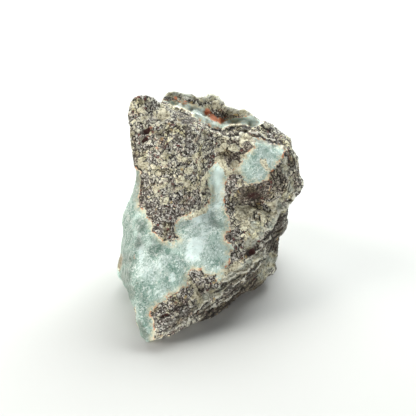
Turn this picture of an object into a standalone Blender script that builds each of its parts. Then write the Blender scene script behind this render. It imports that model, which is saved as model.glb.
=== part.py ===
"""Rough larimar: a broken lump of pale blue pectolite that is still half wrapped in its dark basalt crust.

The stone is one piece. Its skin is laid out between broken corners as two sheets that share one outline, the
side that is seen and the side that isn't. The skin is then fused, worn, roughened with lumps and chips, and
cut flat where the stone rests. It stands about 48 mm high on a base in the table plane.
"""

from math import cos, radians, sin

import bmesh
import bpy
from mathutils import Vector, noise
from mathutils.geometry import delaunay_2d_cdt

MM = 0.001
NAME = "rough_larimar"

# The near side is laid out as it is seen from this far above the table. Each corner has the mm to the right,
# the mm up the picture from the front tip, and its mm above the table. Its depth follows from those.
SEEN_FROM = radians(38)

# The outline, from the slab's top left corner to the right and round.
OUTLINE = [
    (-22, 67.5, 47),
    (-20.5, 70, 50),
    (-18.5, 71, 50.5),
    (-14.5, 71, 50),
    (-13, 68.5, 46),
    (-12.5, 70.5, 45),
    (-11, 72, 45.5),
    (-9.5, 72.5, 46),
    (-7.5, 72, 45.5),
    (-6, 71.5, 45),
    (-4, 71, 44.5),
    (-3, 70, 43.5),
    (0, 70, 43.5),
    (2, 70, 43.5),
    (3.5, 69, 42),
    (5, 67.5, 40),
    (9, 67.5, 41),
    (11, 67, 40.5),
    (13, 65.5, 39.5),
    (16.5, 63.5, 37.5),
    (18, 62.5, 36.5),
    (20.5, 61, 34.5),
    (23, 58, 32.5),
    (23.5, 55, 31),
    (25, 53, 29.5),
    (27, 48.5, 26.5),
    (28, 46, 24.5),
    (26.5, 43.5, 22.5),
    (24, 41.5, 21),
    (23.5, 40, 19),
    (23, 35.5, 15.5),
    (21.5, 32.5, 13),
    (20, 29, 10),
    (19, 24.5, 6.5),
    (19, 22.5, 5),
    (17, 20, 3),
    (16, 17.5, 1.5),
    (13.5, 16, 0.5),
    (11, 15.5, 0.5),
    (8.5, 13.5, 0.5),
    (5.5, 11, 0.5),
    (1.5, 8.5, 0.5),
    (-3.5, 7, 0.5),
    (-8.5, 4, 0.5),
    (-12, 3, 0.5),
    (-15.5, 0, 0),
    (-17, 1.5, 0.5),
    (-19, 4, 0.5),
    (-20.5, 7.5, 1.5),
    (-20, 10, 2.5),
    (-20.5, 12.5, 3),
    (-21, 15.5, 3.5),
    (-23, 18, 4.5),
    (-24.5, 21, 5),
    (-24.5, 23, 6.5),
    (-24, 26, 9),
    (-24, 29.5, 11.5),
    (-23, 34.5, 16.5),
    (-22, 37, 19),
    (-21.5, 40, 22),
    (-21.5, 43, 25),
    (-20, 48.5, 30),
    (-20, 50.5, 32),
    (-20.5, 54, 36),
    (-21, 58, 40),
    (-22, 62.5, 44),
]
# The ridges, ledges and hollows inside it.
FOLDS = {
    "slab_edge": [(-11, 66.5, 46), (-8, 65, 45), (-4.5, 62.5, 43.5), (-0.5, 61, 41), (3.5, 59.5, 39),
                  (8, 60.5, 39), (13, 60, 38), (16.5, 60.5, 36)],
    "channel": [(-9.5, 67, 42.5), (-6.5, 66, 41), (-1.5, 63.5, 37.5), (4, 61, 35), (10, 62, 35),
                (14.5, 61.5, 34.5)],
    "rim_foot": [(-10.5, 68, 42.5), (-5.5, 67, 41), (-1.5, 65.5, 38.5), (1.5, 64.5, 37), (6, 63.5, 36.5),
                 (10.5, 63.5, 36.5)],
    "slab_flank": [(-4, 60, 42), (-3, 53.5, 37), (-3.5, 46.5, 31), (-4, 41, 27)],
    "vein_left": [(0.5, 57.5, 38), (1, 53, 34), (-1, 45, 28.5), (-1, 38, 23.5)],
    "slab_face": [(-17, 63.5, 45), (-12.5, 59, 42), (-12.5, 49.5, 35), (-12.5, 39.5, 27.5),
                  (-14, 34, 23)],
    "slab_foot": [(-19.5, 41, 25.5), (-18, 36, 22.5), (-16, 31.5, 20), (-11, 27.5, 18.5), (-9.5, 31.5, 20.5),
                  (-5.5, 36, 23)],
    "left_ridge": [(-19, 35.5, 23), (-20, 29.5, 19.5), (-20.5, 25.5, 17), (-20.5, 20, 14), (-19.5, 14.5, 11),
                   (-18.5, 9, 7.5), (-16.5, 4.5, 4)],
    "vein": [(2, 49.5, 30), (2, 42.5, 24.5), (2, 36.5, 21), (1, 31, 20)],
    "vein_right": [(4.5, 46.5, 29), (4, 42.5, 26), (5, 38, 23), (5.5, 34, 21), (4.5, 27, 16.5),
                   (4.5, 21.5, 12.5)],
    "ledge": [(-5, 7.5, 3.5), (-3, 10.5, 6), (2, 15.5, 9), (6, 17.5, 10), (10, 19.5, 11), (12.5, 22, 12),
              (15, 24, 13), (15.5, 27, 15), (18, 33.5, 18.5), (19.5, 36.5, 20), (22, 39, 20.5)],
    "undercut": [(0.5, 12.5, 4), (6, 15, 5), (11, 17.5, 5), (15.5, 21, 5.5), (17, 25.5, 9),
                 (19.5, 32.5, 14)],
    "brow": [(4, 56.5, 36.5), (8.5, 57.5, 37), (13, 57, 37.5), (17.5, 56.5, 35.5), (21, 54.5, 33.5)],
    "lobe_low": [(7.5, 48, 30.5), (8.5, 45, 28), (11, 44, 28), (14.5, 45, 28.5), (17.5, 46, 28.5),
                 (21, 45, 26.5)],
    "lobe_mid": [(6, 53, 34.5), (10, 51, 32.5), (13.5, 50.5, 32.5), (18, 51.5, 32.5), (22.5, 49.5, 29)],
    "hollow": [(8, 41.5, 24.5), (11, 40.5, 22.5), (15, 41.5, 23), (18.5, 42.5, 24)],
    "right_face": [(14.5, 36, 21), (10, 36, 21.5), (11, 28.5, 16), (10, 24, 13.5)],
    "front": [(-1, 26.5, 18.5), (-5.5, 24, 16.5), (-12.5, 24, 17.5), (-17.5, 20.5, 15), (-12.5, 17.5, 13),
              (-6.5, 17, 11.5), (-1, 19, 11.5)],
    "front_low": [(-16, 11.5, 9.5), (-12, 12, 9), (-9.5, 8.5, 6.5), (-15, 5.5, 4.5)],
    "front_high": [(-5.5, 31.5, 21.5), (2, 27.5, 18)],
}
# The side that isn't seen, in plain mm: right, back from the front tip, up.
FAR_SIDE = {
    "base": [(-16, 4, 0), (-17, 13, 0), (-19, 22, 0), (-20, 34, 0), (-18, 46, 0), (-11, 54, 0), (3, 56, 0),
             (13, 52, 0), (16, 44, 0), (14.5, 34, 0)],
    "left": [(-23, 42, 12), (-21.5, 48, 20), (-19.5, 52, 27), (-20, 54, 38)],
    "slab_back": [(-21, 52.5, 46), (-18.5, 53, 47.5), (-15, 53, 47.5), (-17, 57, 41.5)],
    "rim_back": [(-10, 61, 43.5), (-3, 60, 41.5), (2, 60, 41.5), (7, 59, 39), (12, 58, 38), (17, 56.5, 35),
                 (21, 54, 31.5)],
    "top": [(-10, 62, 37), (2, 62, 36), (12, 60, 32), (19, 56.5, 27), (23, 50, 22)],
    "right": [(21, 46, 13), (18.5, 46, 5)],
    "back": [(-16, 58, 30), (-6, 63, 29), (6, 61.5, 26), (15, 60, 20), (-15, 57, 18), (-2, 60.5, 17),
             (7, 63, 13), (-13, 57.5, 8), (-3, 61, 6), (14, 55, 6)],
}

STONE_COLOUR = (0.36, 0.37, 0.32, 1.0)
STONE_ROUGHNESS = 0.6

VOXEL = 0.65 * MM
FINE_VOXEL = 0.45 * MM
WORN_STEPS = 2
MOST_TRIANGLES = 9700
# The stone is cut flat this far above its lowest corner.
BASE_CUT = 0.5 * MM
MERGE_WITHIN = 0.00001

# Faces that look down and lie lower than this stay flat.
FLAT_WITHIN = 2.5 * MM

# Each kind of roughness: how wide one lump or chip is, and how far it stands out.
SWELLS = (16 * MM, 1.0 * MM)
LUMPS = (6.5 * MM, 1.1 * MM)
RIDGES = (4 * MM, 0.9 * MM)
CHIPS = (5 * MM, 1.5 * MM)
# The side that isn't seen swells this much more, and keeps all of its roughness; the near side keeps a part.
FAR_SWELLS = 2.2
NEAR_ROUGH = 0.7
# The lower right flank breaks into thin shelves that climb to the right.
SHELF_UP = Vector((-0.29, -0.11, 0.95))
SHELF_FACES = Vector((0.7, -0.6, -0.2))
SHELF_SPACING = 3.2 * MM
SHELF_DEPTH = 0.9 * MM
NOISE_ORIGIN = Vector((3.7, 11.3, 5.9))


def seen_place(across, up, height):
    """The place of a corner seen at (across, up) in the picture that stands this high above the table."""
    depth = (up - height * cos(SEEN_FROM)) / sin(SEEN_FROM)
    return Vector((across, depth, height)) * MM


def picture_of(place):
    """Where a place is seen in the picture."""
    return Vector((place.x, place.y * sin(SEEN_FROM) + place.z * cos(SEEN_FROM)))


def sheet(rim, inside, kept_edges):
    """The corners and triangles of a sheet inside the rim, laid out in the picture plane."""
    places = rim + inside
    flat = [picture_of(p) for p in places]
    made = delaunay_2d_cdt(flat, kept_edges, [list(range(len(rim)))], 1, 1e-7)
    if len(made[0]) != len(places):
        raise ValueError("two folds cross, or a corner lies outside the outline")
    order = [sources[0] for sources in made[3]]
    return places, [[order[i] for i in face] for face in made[2]]


def skin():
    """The two sheets joined at the outline, as one closed mesh."""
    rim = [seen_place(*corner) for corner in OUTLINE]
    near = []
    edges = []
    for fold in FOLDS.values():
        start = len(rim) + len(near)
        near += [seen_place(*corner) for corner in fold]
        edges += [(i, i + 1) for i in range(start, start + len(fold) - 1)]
    far = [Vector(corner) * MM for line in FAR_SIDE.values() for corner in line]
    near_places, near_faces = sheet(rim, near, edges)
    far_places, far_faces = sheet(rim, far, [])
    mesh = bmesh.new()
    shared = [mesh.verts.new(p) for p in rim]
    near_verts = shared + [mesh.verts.new(p) for p in near_places[len(rim):]]
    far_verts = shared + [mesh.verts.new(p) for p in far_places[len(rim):]]
    for face in near_faces:
        mesh.faces.new([near_verts[i] for i in face])
    for face in far_faces:
        mesh.faces.new([far_verts[i] for i in reversed(face)])
    bmesh.ops.recalc_face_normals(mesh, faces=mesh.faces)
    made = bpy.data.meshes.new(NAME)
    mesh.to_mesh(made)
    mesh.free()
    return made


def link(mesh):
    """The stone as an object in a collection of its own, in one colour between its blue and its crust."""
    home = bpy.data.collections.new(NAME)
    bpy.context.scene.collection.children.link(home)
    stone = bpy.data.objects.new(NAME, mesh)
    home.objects.link(stone)
    material = bpy.data.materials.new("stone")
    material.use_nodes = True
    shader = material.node_tree.nodes["Principled BSDF"]
    shader.inputs["Base Color"].default_value = STONE_COLOUR
    shader.inputs["Roughness"].default_value = STONE_ROUGHNESS
    shader.inputs["Metallic"].default_value = 0.0
    mesh.materials.append(material)
    return stone


def baked(stone):
    """The stone with its modifiers applied."""
    bpy.context.view_layer.update()
    graph = bpy.context.evaluated_depsgraph_get()
    mesh = bpy.data.meshes.new_from_object(stone.evaluated_get(graph))
    stone.modifiers.clear()
    stone.data = mesh


def shelves(place, normal):
    """How far the shelves of the lower right flank stand out at a place."""
    on_flank = min(max(2.5 * normal.dot(SHELF_FACES) - 0.9, 0), 1)
    wander = noise.noise(place / SWELLS[0] + NOISE_ORIGIN) * 0.9
    step = (place.dot(SHELF_UP) / SHELF_SPACING + wander) % 1
    return (min(step, 3 * (1 - step)) - 0.4) * SHELF_DEPTH * on_flank


def roughness(place):
    """How far the skin stands out at a place."""
    swell = noise.noise(place / SWELLS[0] + NOISE_ORIGIN) * SWELLS[1]
    lump = noise.noise(place / LUMPS[0] + 2 * NOISE_ORIGIN) * LUMPS[1]
    ridge = (0.35 - abs(noise.noise(place / RIDGES[0] + 3 * NOISE_ORIGIN))) * RIDGES[1]
    near, following = noise.voronoi(place / CHIPS[0] + NOISE_ORIGIN)[0][:2]
    chip = (min(following - near, 0.35) - 0.2) * CHIPS[1]
    return swell, lump + ridge + chip


def roughen(stone):
    """Lumps and chips all over, with larger swells on the side that isn't seen."""
    to_viewer = Vector((0, -cos(SEEN_FROM), sin(SEEN_FROM)))
    mesh = bmesh.new()
    mesh.from_mesh(stone.data)
    mesh.normal_update()
    moves = []
    for vert in mesh.verts:
        swell, rough = roughness(vert.co)
        away = min(max(0.3 - vert.normal.dot(to_viewer), 0), 1)
        out = swell * (1 + away * FAR_SWELLS) + rough * (NEAR_ROUGH + (1 - NEAR_ROUGH) * away)
        clear_of_base = min(max(vert.co.z / FLAT_WITHIN + 1.6 + 2 * vert.normal.z, 0), 1)
        moves.append(vert.normal * (out + shelves(vert.co, vert.normal)) * clear_of_base)
    for vert, move in zip(mesh.verts, moves):
        vert.co += move
    mesh.to_mesh(stone.data)
    mesh.free()


def keep_largest(stone):
    """The stone without any small closed bits that fusing leaves inside it."""
    mesh = bmesh.new()
    mesh.from_mesh(stone.data)
    unseen = set(mesh.verts)
    bodies = []
    while unseen:
        body = {unseen.pop()}
        edge_of_body = set(body)
        while edge_of_body:
            around = {edge.other_vert(vert) for vert in edge_of_body for edge in vert.link_edges}
            edge_of_body = around - body
            body |= edge_of_body
        unseen -= body
        bodies.append(body)
    bodies.sort(key=len)
    for body in bodies[:-1]:
        bmesh.ops.delete(mesh, geom=list(body), context="VERTS")
    mesh.to_mesh(stone.data)
    mesh.free()


def cut_flat(stone):
    """Everything below the base cut taken off and the cut closed with one flat face."""
    mesh = bmesh.new()
    mesh.from_mesh(stone.data)
    low = min(vert.co.z for vert in mesh.verts)
    everything = mesh.verts[:] + mesh.edges[:] + mesh.faces[:]
    level = Vector((0, 0, max(low, 0) + BASE_CUT))
    bmesh.ops.bisect_plane(mesh, geom=everything, dist=MERGE_WITHIN, plane_co=level, plane_no=(0, 0, 1),
                           clear_inner=True)
    open_edges = [edge for edge in mesh.edges if edge.is_boundary]
    bmesh.ops.holes_fill(mesh, edges=open_edges, sides=0)
    bmesh.ops.recalc_face_normals(mesh, faces=mesh.faces)
    mesh.to_mesh(stone.data)
    mesh.free()


def centre(stone):
    """The stone moved so its origin is the bottom centre of its box."""
    corners = [Vector(corner) for corner in stone.bound_box]
    low = Vector(min(corner[i] for corner in corners) for i in range(3))
    high = Vector(max(corner[i] for corner in corners) for i in range(3))
    shift = Vector(((low.x + high.x) / 2, (low.y + high.y) / 2, low.z))
    for vert in stone.data.vertices:
        vert.co -= shift


def fuse(stone, voxel):
    """One closed skin of even faces in place of the stone's own."""
    fused = stone.modifiers.new("fused", "REMESH")
    fused.mode = "VOXEL"
    fused.voxel_size = voxel


def main():
    for old in list(bpy.data.objects):
        bpy.data.objects.remove(old)
    stone = link(skin())
    fuse(stone, VOXEL)
    worn = stone.modifiers.new("worn", "SMOOTH")
    worn.iterations = WORN_STEPS
    baked(stone)
    roughen(stone)
    fuse(stone, FINE_VOXEL)
    baked(stone)
    keep_largest(stone)
    fewer = stone.modifiers.new("fewer_faces", "DECIMATE")
    fewer.ratio = MOST_TRIANGLES / (2 * len(stone.data.polygons))
    baked(stone)
    cut_flat(stone)
    centre(stone)


main()
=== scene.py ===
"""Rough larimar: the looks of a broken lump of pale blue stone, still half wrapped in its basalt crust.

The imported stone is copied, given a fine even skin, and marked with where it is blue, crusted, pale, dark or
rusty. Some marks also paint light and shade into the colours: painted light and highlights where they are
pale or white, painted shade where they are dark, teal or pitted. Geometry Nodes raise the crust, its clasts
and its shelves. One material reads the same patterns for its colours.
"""

from math import cos, pi, radians, sin

import bmesh
import bpy
import numpy as np
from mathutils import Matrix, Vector, noise


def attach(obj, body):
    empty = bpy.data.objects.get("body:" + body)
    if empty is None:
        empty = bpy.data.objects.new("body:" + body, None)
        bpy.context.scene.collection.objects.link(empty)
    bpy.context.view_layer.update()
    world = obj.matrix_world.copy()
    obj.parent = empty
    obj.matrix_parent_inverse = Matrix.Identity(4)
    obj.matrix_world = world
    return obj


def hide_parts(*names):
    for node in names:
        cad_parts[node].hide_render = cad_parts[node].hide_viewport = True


bl_info = {
    "name": "Rough larimar",
    "version": (1, 0, 0),
    "blender": (4, 5, 0),
    "location": "3D View > Sidebar > Larimar",
    "description": "Builds a rough larimar with its basalt crust, and a pale stage to stand it on",
    "category": "Object",
}

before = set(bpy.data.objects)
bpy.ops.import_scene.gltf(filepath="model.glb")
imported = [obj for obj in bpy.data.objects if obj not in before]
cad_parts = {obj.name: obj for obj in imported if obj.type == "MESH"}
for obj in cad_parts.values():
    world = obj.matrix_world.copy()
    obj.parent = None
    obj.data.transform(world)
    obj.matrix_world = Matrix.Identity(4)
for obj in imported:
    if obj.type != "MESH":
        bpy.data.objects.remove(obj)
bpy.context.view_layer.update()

MM = 0.001
NODE = "rough_larimar"
BODY = "root"
PIECE = "larimar_stone"
NUMBER = "NodeSocketFloat"
COLOUR = "NodeSocketColor"
VECTOR = "NodeSocketVector"
GEOMETRY = "NodeSocketGeometry"

# The marks are laid out as the stone is seen from this far above the table, in steps of so many mm. They are
# counted right of its middle and up from its front tip, which is seen that many mm below the middle.
MARK_STEP = 0.28
SEEN_FROM = radians(38)
TIP_BELOW_MIDDLE = 19.13
TO_VIEWER = (0.0, -cos(SEEN_FROM), sin(SEEN_FROM))

# Where blue shows between the crust. The lines run past the stone's own outline where blue runs out of sight.
BLUE_OUTLINES = [
    [(-105, 181), (-73, 174), (-69, 170), (-69, 155), (-70, 146), (-71, 135), (-64, 131), (-63, 124),
     (-57, 120), (-57, 110), (-54, 109), (-50, 104), (-46, 100), (-41, 100), (-37, 98), (-34, 102),
     (-30, 102), (-34, 106), (-36, 112), (-36, 117), (-31, 123), (-24, 127), (-11, 131), (-4, 135),
     (-2, 140), (1, 144), (0, 150), (-3, 158), (-4, 163), (-2, 170), (2, 176), (4, 179), (8, 181),
     (11, 180), (14, 176), (17, 173), (22, 171), (27, 174), (31, 179), (35, 185), (35, 188), (41, 190),
     (44, 195), (40, 200), (38, 206), (41, 205), (47, 204), (54, 202), (62, 199), (71, 196), (75, 192),
     (74, 187), (71, 182), (66, 177), (65, 172), (59, 167), (58, 162), (50, 159), (41, 157), (35, 159),
     (31, 166), (26, 169), (19, 166), (16, 159), (14, 152), (14, 141), (15, 133), (17, 127), (20, 122),
     (19, 115), (20, 110), (14, 106), (15, 101), (22, 96), (23, 92), (19, 89), (20, 80), (15, 74), (14, 67),
     (9, 57), (6, 59), (6, 67), (1, 66), (-6, 68), (-9, 72), (-17, 72), (-21, 70), (-23, 61), (-23, 55),
     (-30, 53), (-32, 49), (-41, 48), (-44, 40), (-51, 38), (-59, 32), (-59, 27), (-56, 20), (-55, 14),
     (-56, 7), (-58, -6), (-110, -9)],
    [(-50, 244), (-44, 240), (-34, 241), (-24, 239), (-16, 237), (-11, 236), (-6, 235), (-5, 233),
     (-2, 226), (6, 220), (11, 219), (15, 222), (21, 224), (29, 225), (38, 227), (44, 229), (52, 224),
     (60, 220), (50, 217), (47, 214), (38, 215), (29, 217), (22, 217), (17, 214), (12, 212), (2, 213),
     (-2, 217), (-8, 220), (-16, 224), (-21, 230), (-29, 233), (-40, 237)],
]
# Cream patches, chalky blue grey ones, dark ones, areas of finer basalt, and pale ridges and dark cracks. The
# dark ones are partly darker crust and partly painted shade in the hollow under the lobe, under the ledges
# and on the rim's face.
CREAM_OUTLINES = [
    [(-51, 229), (-47, 231), (-42, 229), (-40, 225), (-41, 222), (-46, 221), (-52, 222)],
    [(-72, 231), (-69, 234), (-65, 231), (-66, 229), (-70, 228)],
    [(-69, 224), (-65, 226), (-62, 224), (-63, 221), (-68, 220)],
    [(-57, 229), (-54, 229), (-53, 226), (-56, 224)],
    [(-79, 239), (-76, 237), (-75, 234), (-79, 234)],
    [(-71, 184), (-68, 184), (-66, 179), (-60, 178), (-62, 174), (-67, 172), (-71, 176)],
    [(-33, 184), (-28, 185), (-24, 184), (-26, 180), (-31, 180)],
    [(-13, 182), (-10, 179), (-10, 172), (-13, 171), (-14, 176)],
    [(-17, 187), (-14, 189), (-14, 184), (-17, 179)],
    [(-34, 164), (-27, 166), (-26, 162), (-29, 159), (-33, 160)],
    [(-27, 161), (-24, 162), (-24, 159), (-27, 159)],
    [(-57, 154), (-53, 158), (-51, 152), (-54, 147)],
    [(-50, 155), (-43, 159), (-42, 156), (-48, 152)],
    [(-45, 142), (-41, 144), (-42, 139), (-46, 138)],
    [(-26, 169), (-23, 174), (-19, 174), (-18, 169), (-22, 167)],
    [(-26, 158), (-21, 159), (-21, 154), (-25, 154)],
    [(-19, 154), (-15, 158), (-14, 154), (-18, 151)],
    [(-34, 154), (-29, 154), (-28, 151), (-33, 150)],
    [(-53, 169), (-49, 170), (-48, 166), (-52, 166)],
    [(-50, 185), (-45, 189), (-44, 185), (-49, 184)],
    [(-49, 179), (-42, 180), (-43, 178), (-48, 176)],
    [(19, 196), (26, 197), (27, 192), (23, 190), (19, 191)],
    [(4, 194), (10, 195), (16, 199), (17, 194), (11, 190), (4, 189)],
    [(21, 179), (27, 180), (29, 175), (25, 172), (21, 174)],
    [(30, 187), (37, 187), (36, 182), (32, 184)],
    [(4, 182), (8, 184), (14, 184), (16, 176), (18, 171), (30, 170), (30, 167), (16, 166), (12, 174)],
    [(27, 129), (34, 131), (38, 129), (38, 122), (33, 119), (28, 122)],
    [(50, 130), (55, 129), (57, 124), (55, 119), (51, 121)],
    [(55, 139), (60, 139), (65, 141), (67, 135), (64, 131), (58, 134)],
    [(28, 161), (31, 162), (32, 155), (29, 155)],
    [(-18, 58), (-15, 58), (-13, 49), (-10, 45), (-14, 42), (-19, 44), (-16, 49)],
    [(12, 204), (16, 206), (19, 202), (15, 200)],
    [(30, 207), (36, 208), (42, 205), (45, 200), (43, 196), (40, 200), (34, 199), (31, 195), (29, 200)],
    [(30, 117), (38, 120), (40, 115), (35, 111), (30, 112)],
    [(35, 108), (37, 106), (36, 101), (34, 103)],
    [(60, 129), (66, 135), (66, 127), (61, 122)],
    [(52, 210), (58, 205), (53, 205), (49, 208)],
    [(21, 218), (27, 217), (33, 215), (26, 214), (21, 215)],
    [(50, 183), (55, 183), (58, 175), (61, 170), (56, 171), (52, 176)],
    [(3, 240), (8, 241), (11, 237), (9, 233), (4, 234), (1, 237)],
    [(13, 237), (18, 233), (16, 230), (11, 233)],
    [(23, 79), (29, 79), (31, 74), (26, 71), (21, 72)],
    [(12, 70), (16, 71), (19, 75), (22, 76), (21, 72), (16, 67)],
    [(-6, 234), (-2, 237), (2, 233), (-2, 232)],
    [(-96, 87), (-90, 88), (-88, 83), (-89, 75), (-91, 70), (-96, 73)],
    [(24, 133), (30, 136), (40, 135), (46, 131), (42, 125), (33, 122), (26, 125)],
    [(-10, 161), (-7, 165), (-2, 169), (0, 165), (-4, 162), (-7, 157), (-7, 150), (-10, 153)],
    [(-27, 123), (-20, 127), (-11, 131), (-3, 135), (-1, 132), (-5, 128), (-11, 126), (-18, 124),
     (-24, 120)],
]
CHALK_OUTLINES = [
    [(40, 119), (46, 121), (52, 119), (54, 113), (52, 107), (48, 101), (42, 93), (36, 91), (34, 97),
     (38, 103), (41, 105), (40, 113)],
    [(78, 163), (81, 165), (83, 159), (82, 151), (76, 145), (70, 138), (74, 133), (80, 137), (84, 145),
     (86, 143), (80, 133), (72, 129), (67, 135), (70, 143), (77, 151)],
    [(66, 141), (69, 136), (69, 127), (65, 121), (61, 113), (56, 110), (60, 117), (64, 127), (65, 135)],
    [(16, 66), (22, 73), (30, 77), (36, 79), (42, 83), (46, 89), (52, 89), (54, 85), (48, 79), (40, 73),
     (32, 67), (24, 62), (16, 58), (12, 60)],
    [(52, 79), (58, 89), (64, 91), (67, 83), (66, 77), (60, 72), (56, 64), (50, 58), (46, 61), (48, 71)],
    [(73, 184), (76, 183), (77, 169), (74, 165), (71, 173)],
    [(-14, 41), (-4, 48), (6, 53), (16, 59), (22, 61), (16, 54), (4, 46), (-6, 39), (-13, 35)],
    [(21, 180), (26, 181), (29, 177), (27, 173), (22, 174)],
    [(30, 130), (34, 130), (36, 125), (31, 123)],
    [(-46, 245), (-40, 251), (-32, 254), (-20, 253), (-10, 250), (-4, 248), (-4, 240), (-14, 242),
     (-30, 245)],
    [(-2, 248), (4, 251), (10, 249), (14, 243), (8, 237), (0, 241)],
    [(16, 235), (24, 237), (34, 236), (42, 231), (48, 224), (38, 227), (26, 229), (16, 229)],
]
DARK_OUTLINES = [
    [(34, 199), (39, 200), (42, 195), (42, 191), (39, 188), (31, 188), (30, 192), (34, 195)],
    [(12, 201), (29, 202), (30, 195), (27, 197), (21, 198), (20, 191), (27, 188), (30, 191), (32, 183),
     (30, 178), (26, 173), (19, 172), (16, 179), (12, 186), (6, 183), (5, 188), (12, 190), (14, 193),
     (12, 198)],
    [(26, 151), (34, 156), (44, 152), (52, 157), (59, 163), (66, 157), (66, 145), (58, 141), (52, 135),
     (44, 132), (38, 135), (30, 139)],
    [(52, 107), (60, 114), (65, 122), (67, 129), (72, 125), (71, 111), (69, 101), (67, 89), (62, 83),
     (58, 91), (52, 87), (48, 85), (46, 91), (49, 98)],
    [(38, 71), (46, 77), (50, 77), (48, 69), (46, 60), (36, 56), (34, 63)],
    [(37, 91), (42, 93), (47, 91), (47, 87), (40, 84), (37, 87)],
    [(-79, 213), (-76, 213), (-72, 191), (-68, 171), (-64, 151), (-68, 151), (-73, 169), (-78, 191)],
    [(9, 231), (20, 231), (28, 234), (35, 233), (41, 229), (33, 228), (25, 226), (18, 224), (12, 226)],
    [(8, 210), (16, 205), (23, 203), (28, 206), (30, 210), (37, 209), (43, 205), (52, 204), (58, 200),
     (65, 198), (60, 204), (52, 209), (45, 212), (38, 215), (30, 214), (22, 213), (18, 210)],
    [(52, 209), (60, 208), (66, 201), (74, 194), (74, 198), (66, 207), (60, 213), (52, 214)],
    [(-14, 29), (-4, 35), (10, 41), (22, 48), (32, 52), (22, 43), (12, 37), (-2, 29), (-12, 25)],
    [(60, 173), (66, 177), (72, 173), (76, 165), (77, 153), (72, 147), (66, 151), (62, 159), (58, 165)],
    [(76, 191), (81, 186), (84, 179), (86, 171), (88, 165), (82, 163), (78, 173), (76, 183)],
    [(84, 163), (87, 159), (86, 152), (83, 151)],
]
FINE_OUTLINES = [
    [(-17, 74), (-9, 72), (-5, 66), (5, 66), (7, 61), (14, 59), (6, 55), (-5, 51), (-12, 49), (-15, 58),
     (-20, 59), (-20, 69)],
    [(-32, 51), (-20, 56), (-16, 49), (-20, 41), (-26, 44)],
    [(-42, 46), (-32, 46), (-20, 41), (-18, 29), (-32, 21), (-50, 15), (-58, 19), (-59, 30), (-52, 37),
     (-42, 39)],
    [(16, 161), (26, 167), (33, 159), (40, 156), (50, 159), (60, 159), (62, 141), (52, 134), (35, 132),
     (26, 129), (19, 134), (15, 145)],
    [(19, 119), (30, 119), (38, 111), (38, 105), (30, 101), (18, 101), (16, 105), (21, 110)],
    [(23, 95), (32, 95), (33, 84), (22, 81), (20, 87)],
    [(38, 94), (48, 99), (50, 87), (40, 84)],
    [(34, 199), (38, 200), (42, 194), (41, 189), (31, 187), (30, 192), (34, 194)],
    [(11, 190), (19, 190), (29, 191), (31, 184), (28, 180), (19, 179), (16, 184), (6, 184), (5, 189)],
    [(11, 201), (30, 201), (28, 197), (18, 197), (10, 199)],
    [(-10, 191), (-3, 189), (1, 195), (2, 184), (-2, 171), (-8, 165), (-11, 158), (-15, 156), (-10, 171),
     (-9, 181)],
    [(-62, 141), (-53, 138), (-35, 141), (-10, 147), (-5, 138), (-20, 129), (-32, 119), (-37, 109),
     (-32, 104), (-45, 101), (-58, 116), (-60, 129)],
    [(-70, 171), (-60, 169), (-58, 141), (-69, 136), (-71, 156)],
    [(52, 101), (60, 109), (68, 126), (74, 136), (76, 129), (70, 105), (68, 85), (58, 79), (52, 89)],
    [(58, 206), (68, 204), (76, 195), (73, 194), (62, 200)],
    [(-25, 219), (-18, 217), (-18, 191), (-24, 191), (-26, 206)],
]
# Pale ridges: partly painted highlights along lit edges, such as the ledges and the top of the lobe.
RIDGE_LINES = [
    [(-20, 25), (-15, 31), (-10, 35), (-7, 39), (-1, 42), (5, 45), (10, 49), (15, 51), (20, 54), (28, 60),
     (36, 66), (44, 73), (50, 79)],
    [(15, 64), (23, 69), (33, 77), (41, 84), (48, 91), (53, 99)],
    [(-6, 30), (6, 37), (18, 44), (30, 54)],
    [(6, 211), (9, 207), (14, 203), (19, 205)],
    [(21, 203), (25, 201), (28, 203), (31, 207)],
    [(31, 212), (38, 211), (43, 208), (49, 207)],
    [(51, 206), (58, 202), (66, 199)],
    [(8, 55), (13, 59), (19, 62), (27, 67), (32, 69), (37, 70), (40, 73), (44, 78), (50, 82), (53, 84),
     (54, 89), (53, 94)],
    [(73, 135), (70, 132), (67, 130), (66, 125), (64, 120), (62, 116), (60, 113), (56, 110), (53, 107),
     (52, 103), (50, 101)],
    [(68, 129), (74, 133), (80, 137), (83, 144), (84, 149)],
    [(-58, 0), (-55, 1), (-49, 5), (-45, 10), (-39, 13), (-34, 15), (-32, 17), (-27, 20), (-22, 21),
     (-20, 27)],
    [(74, 184), (76, 175), (75, 167), (78, 161)],
    [(-10, 243), (-4, 244), (2, 245), (8, 243), (12, 238)],
    [(13, 235), (19, 231), (26, 232), (33, 234), (40, 229)],
    [(60, 106), (58, 102), (54, 100), (52, 97)],
    [(60, 132), (64, 130), (66, 135), (66, 141)],
    [(-3, 36), (1, 38), (4, 37), (2, 34)],
]
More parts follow.
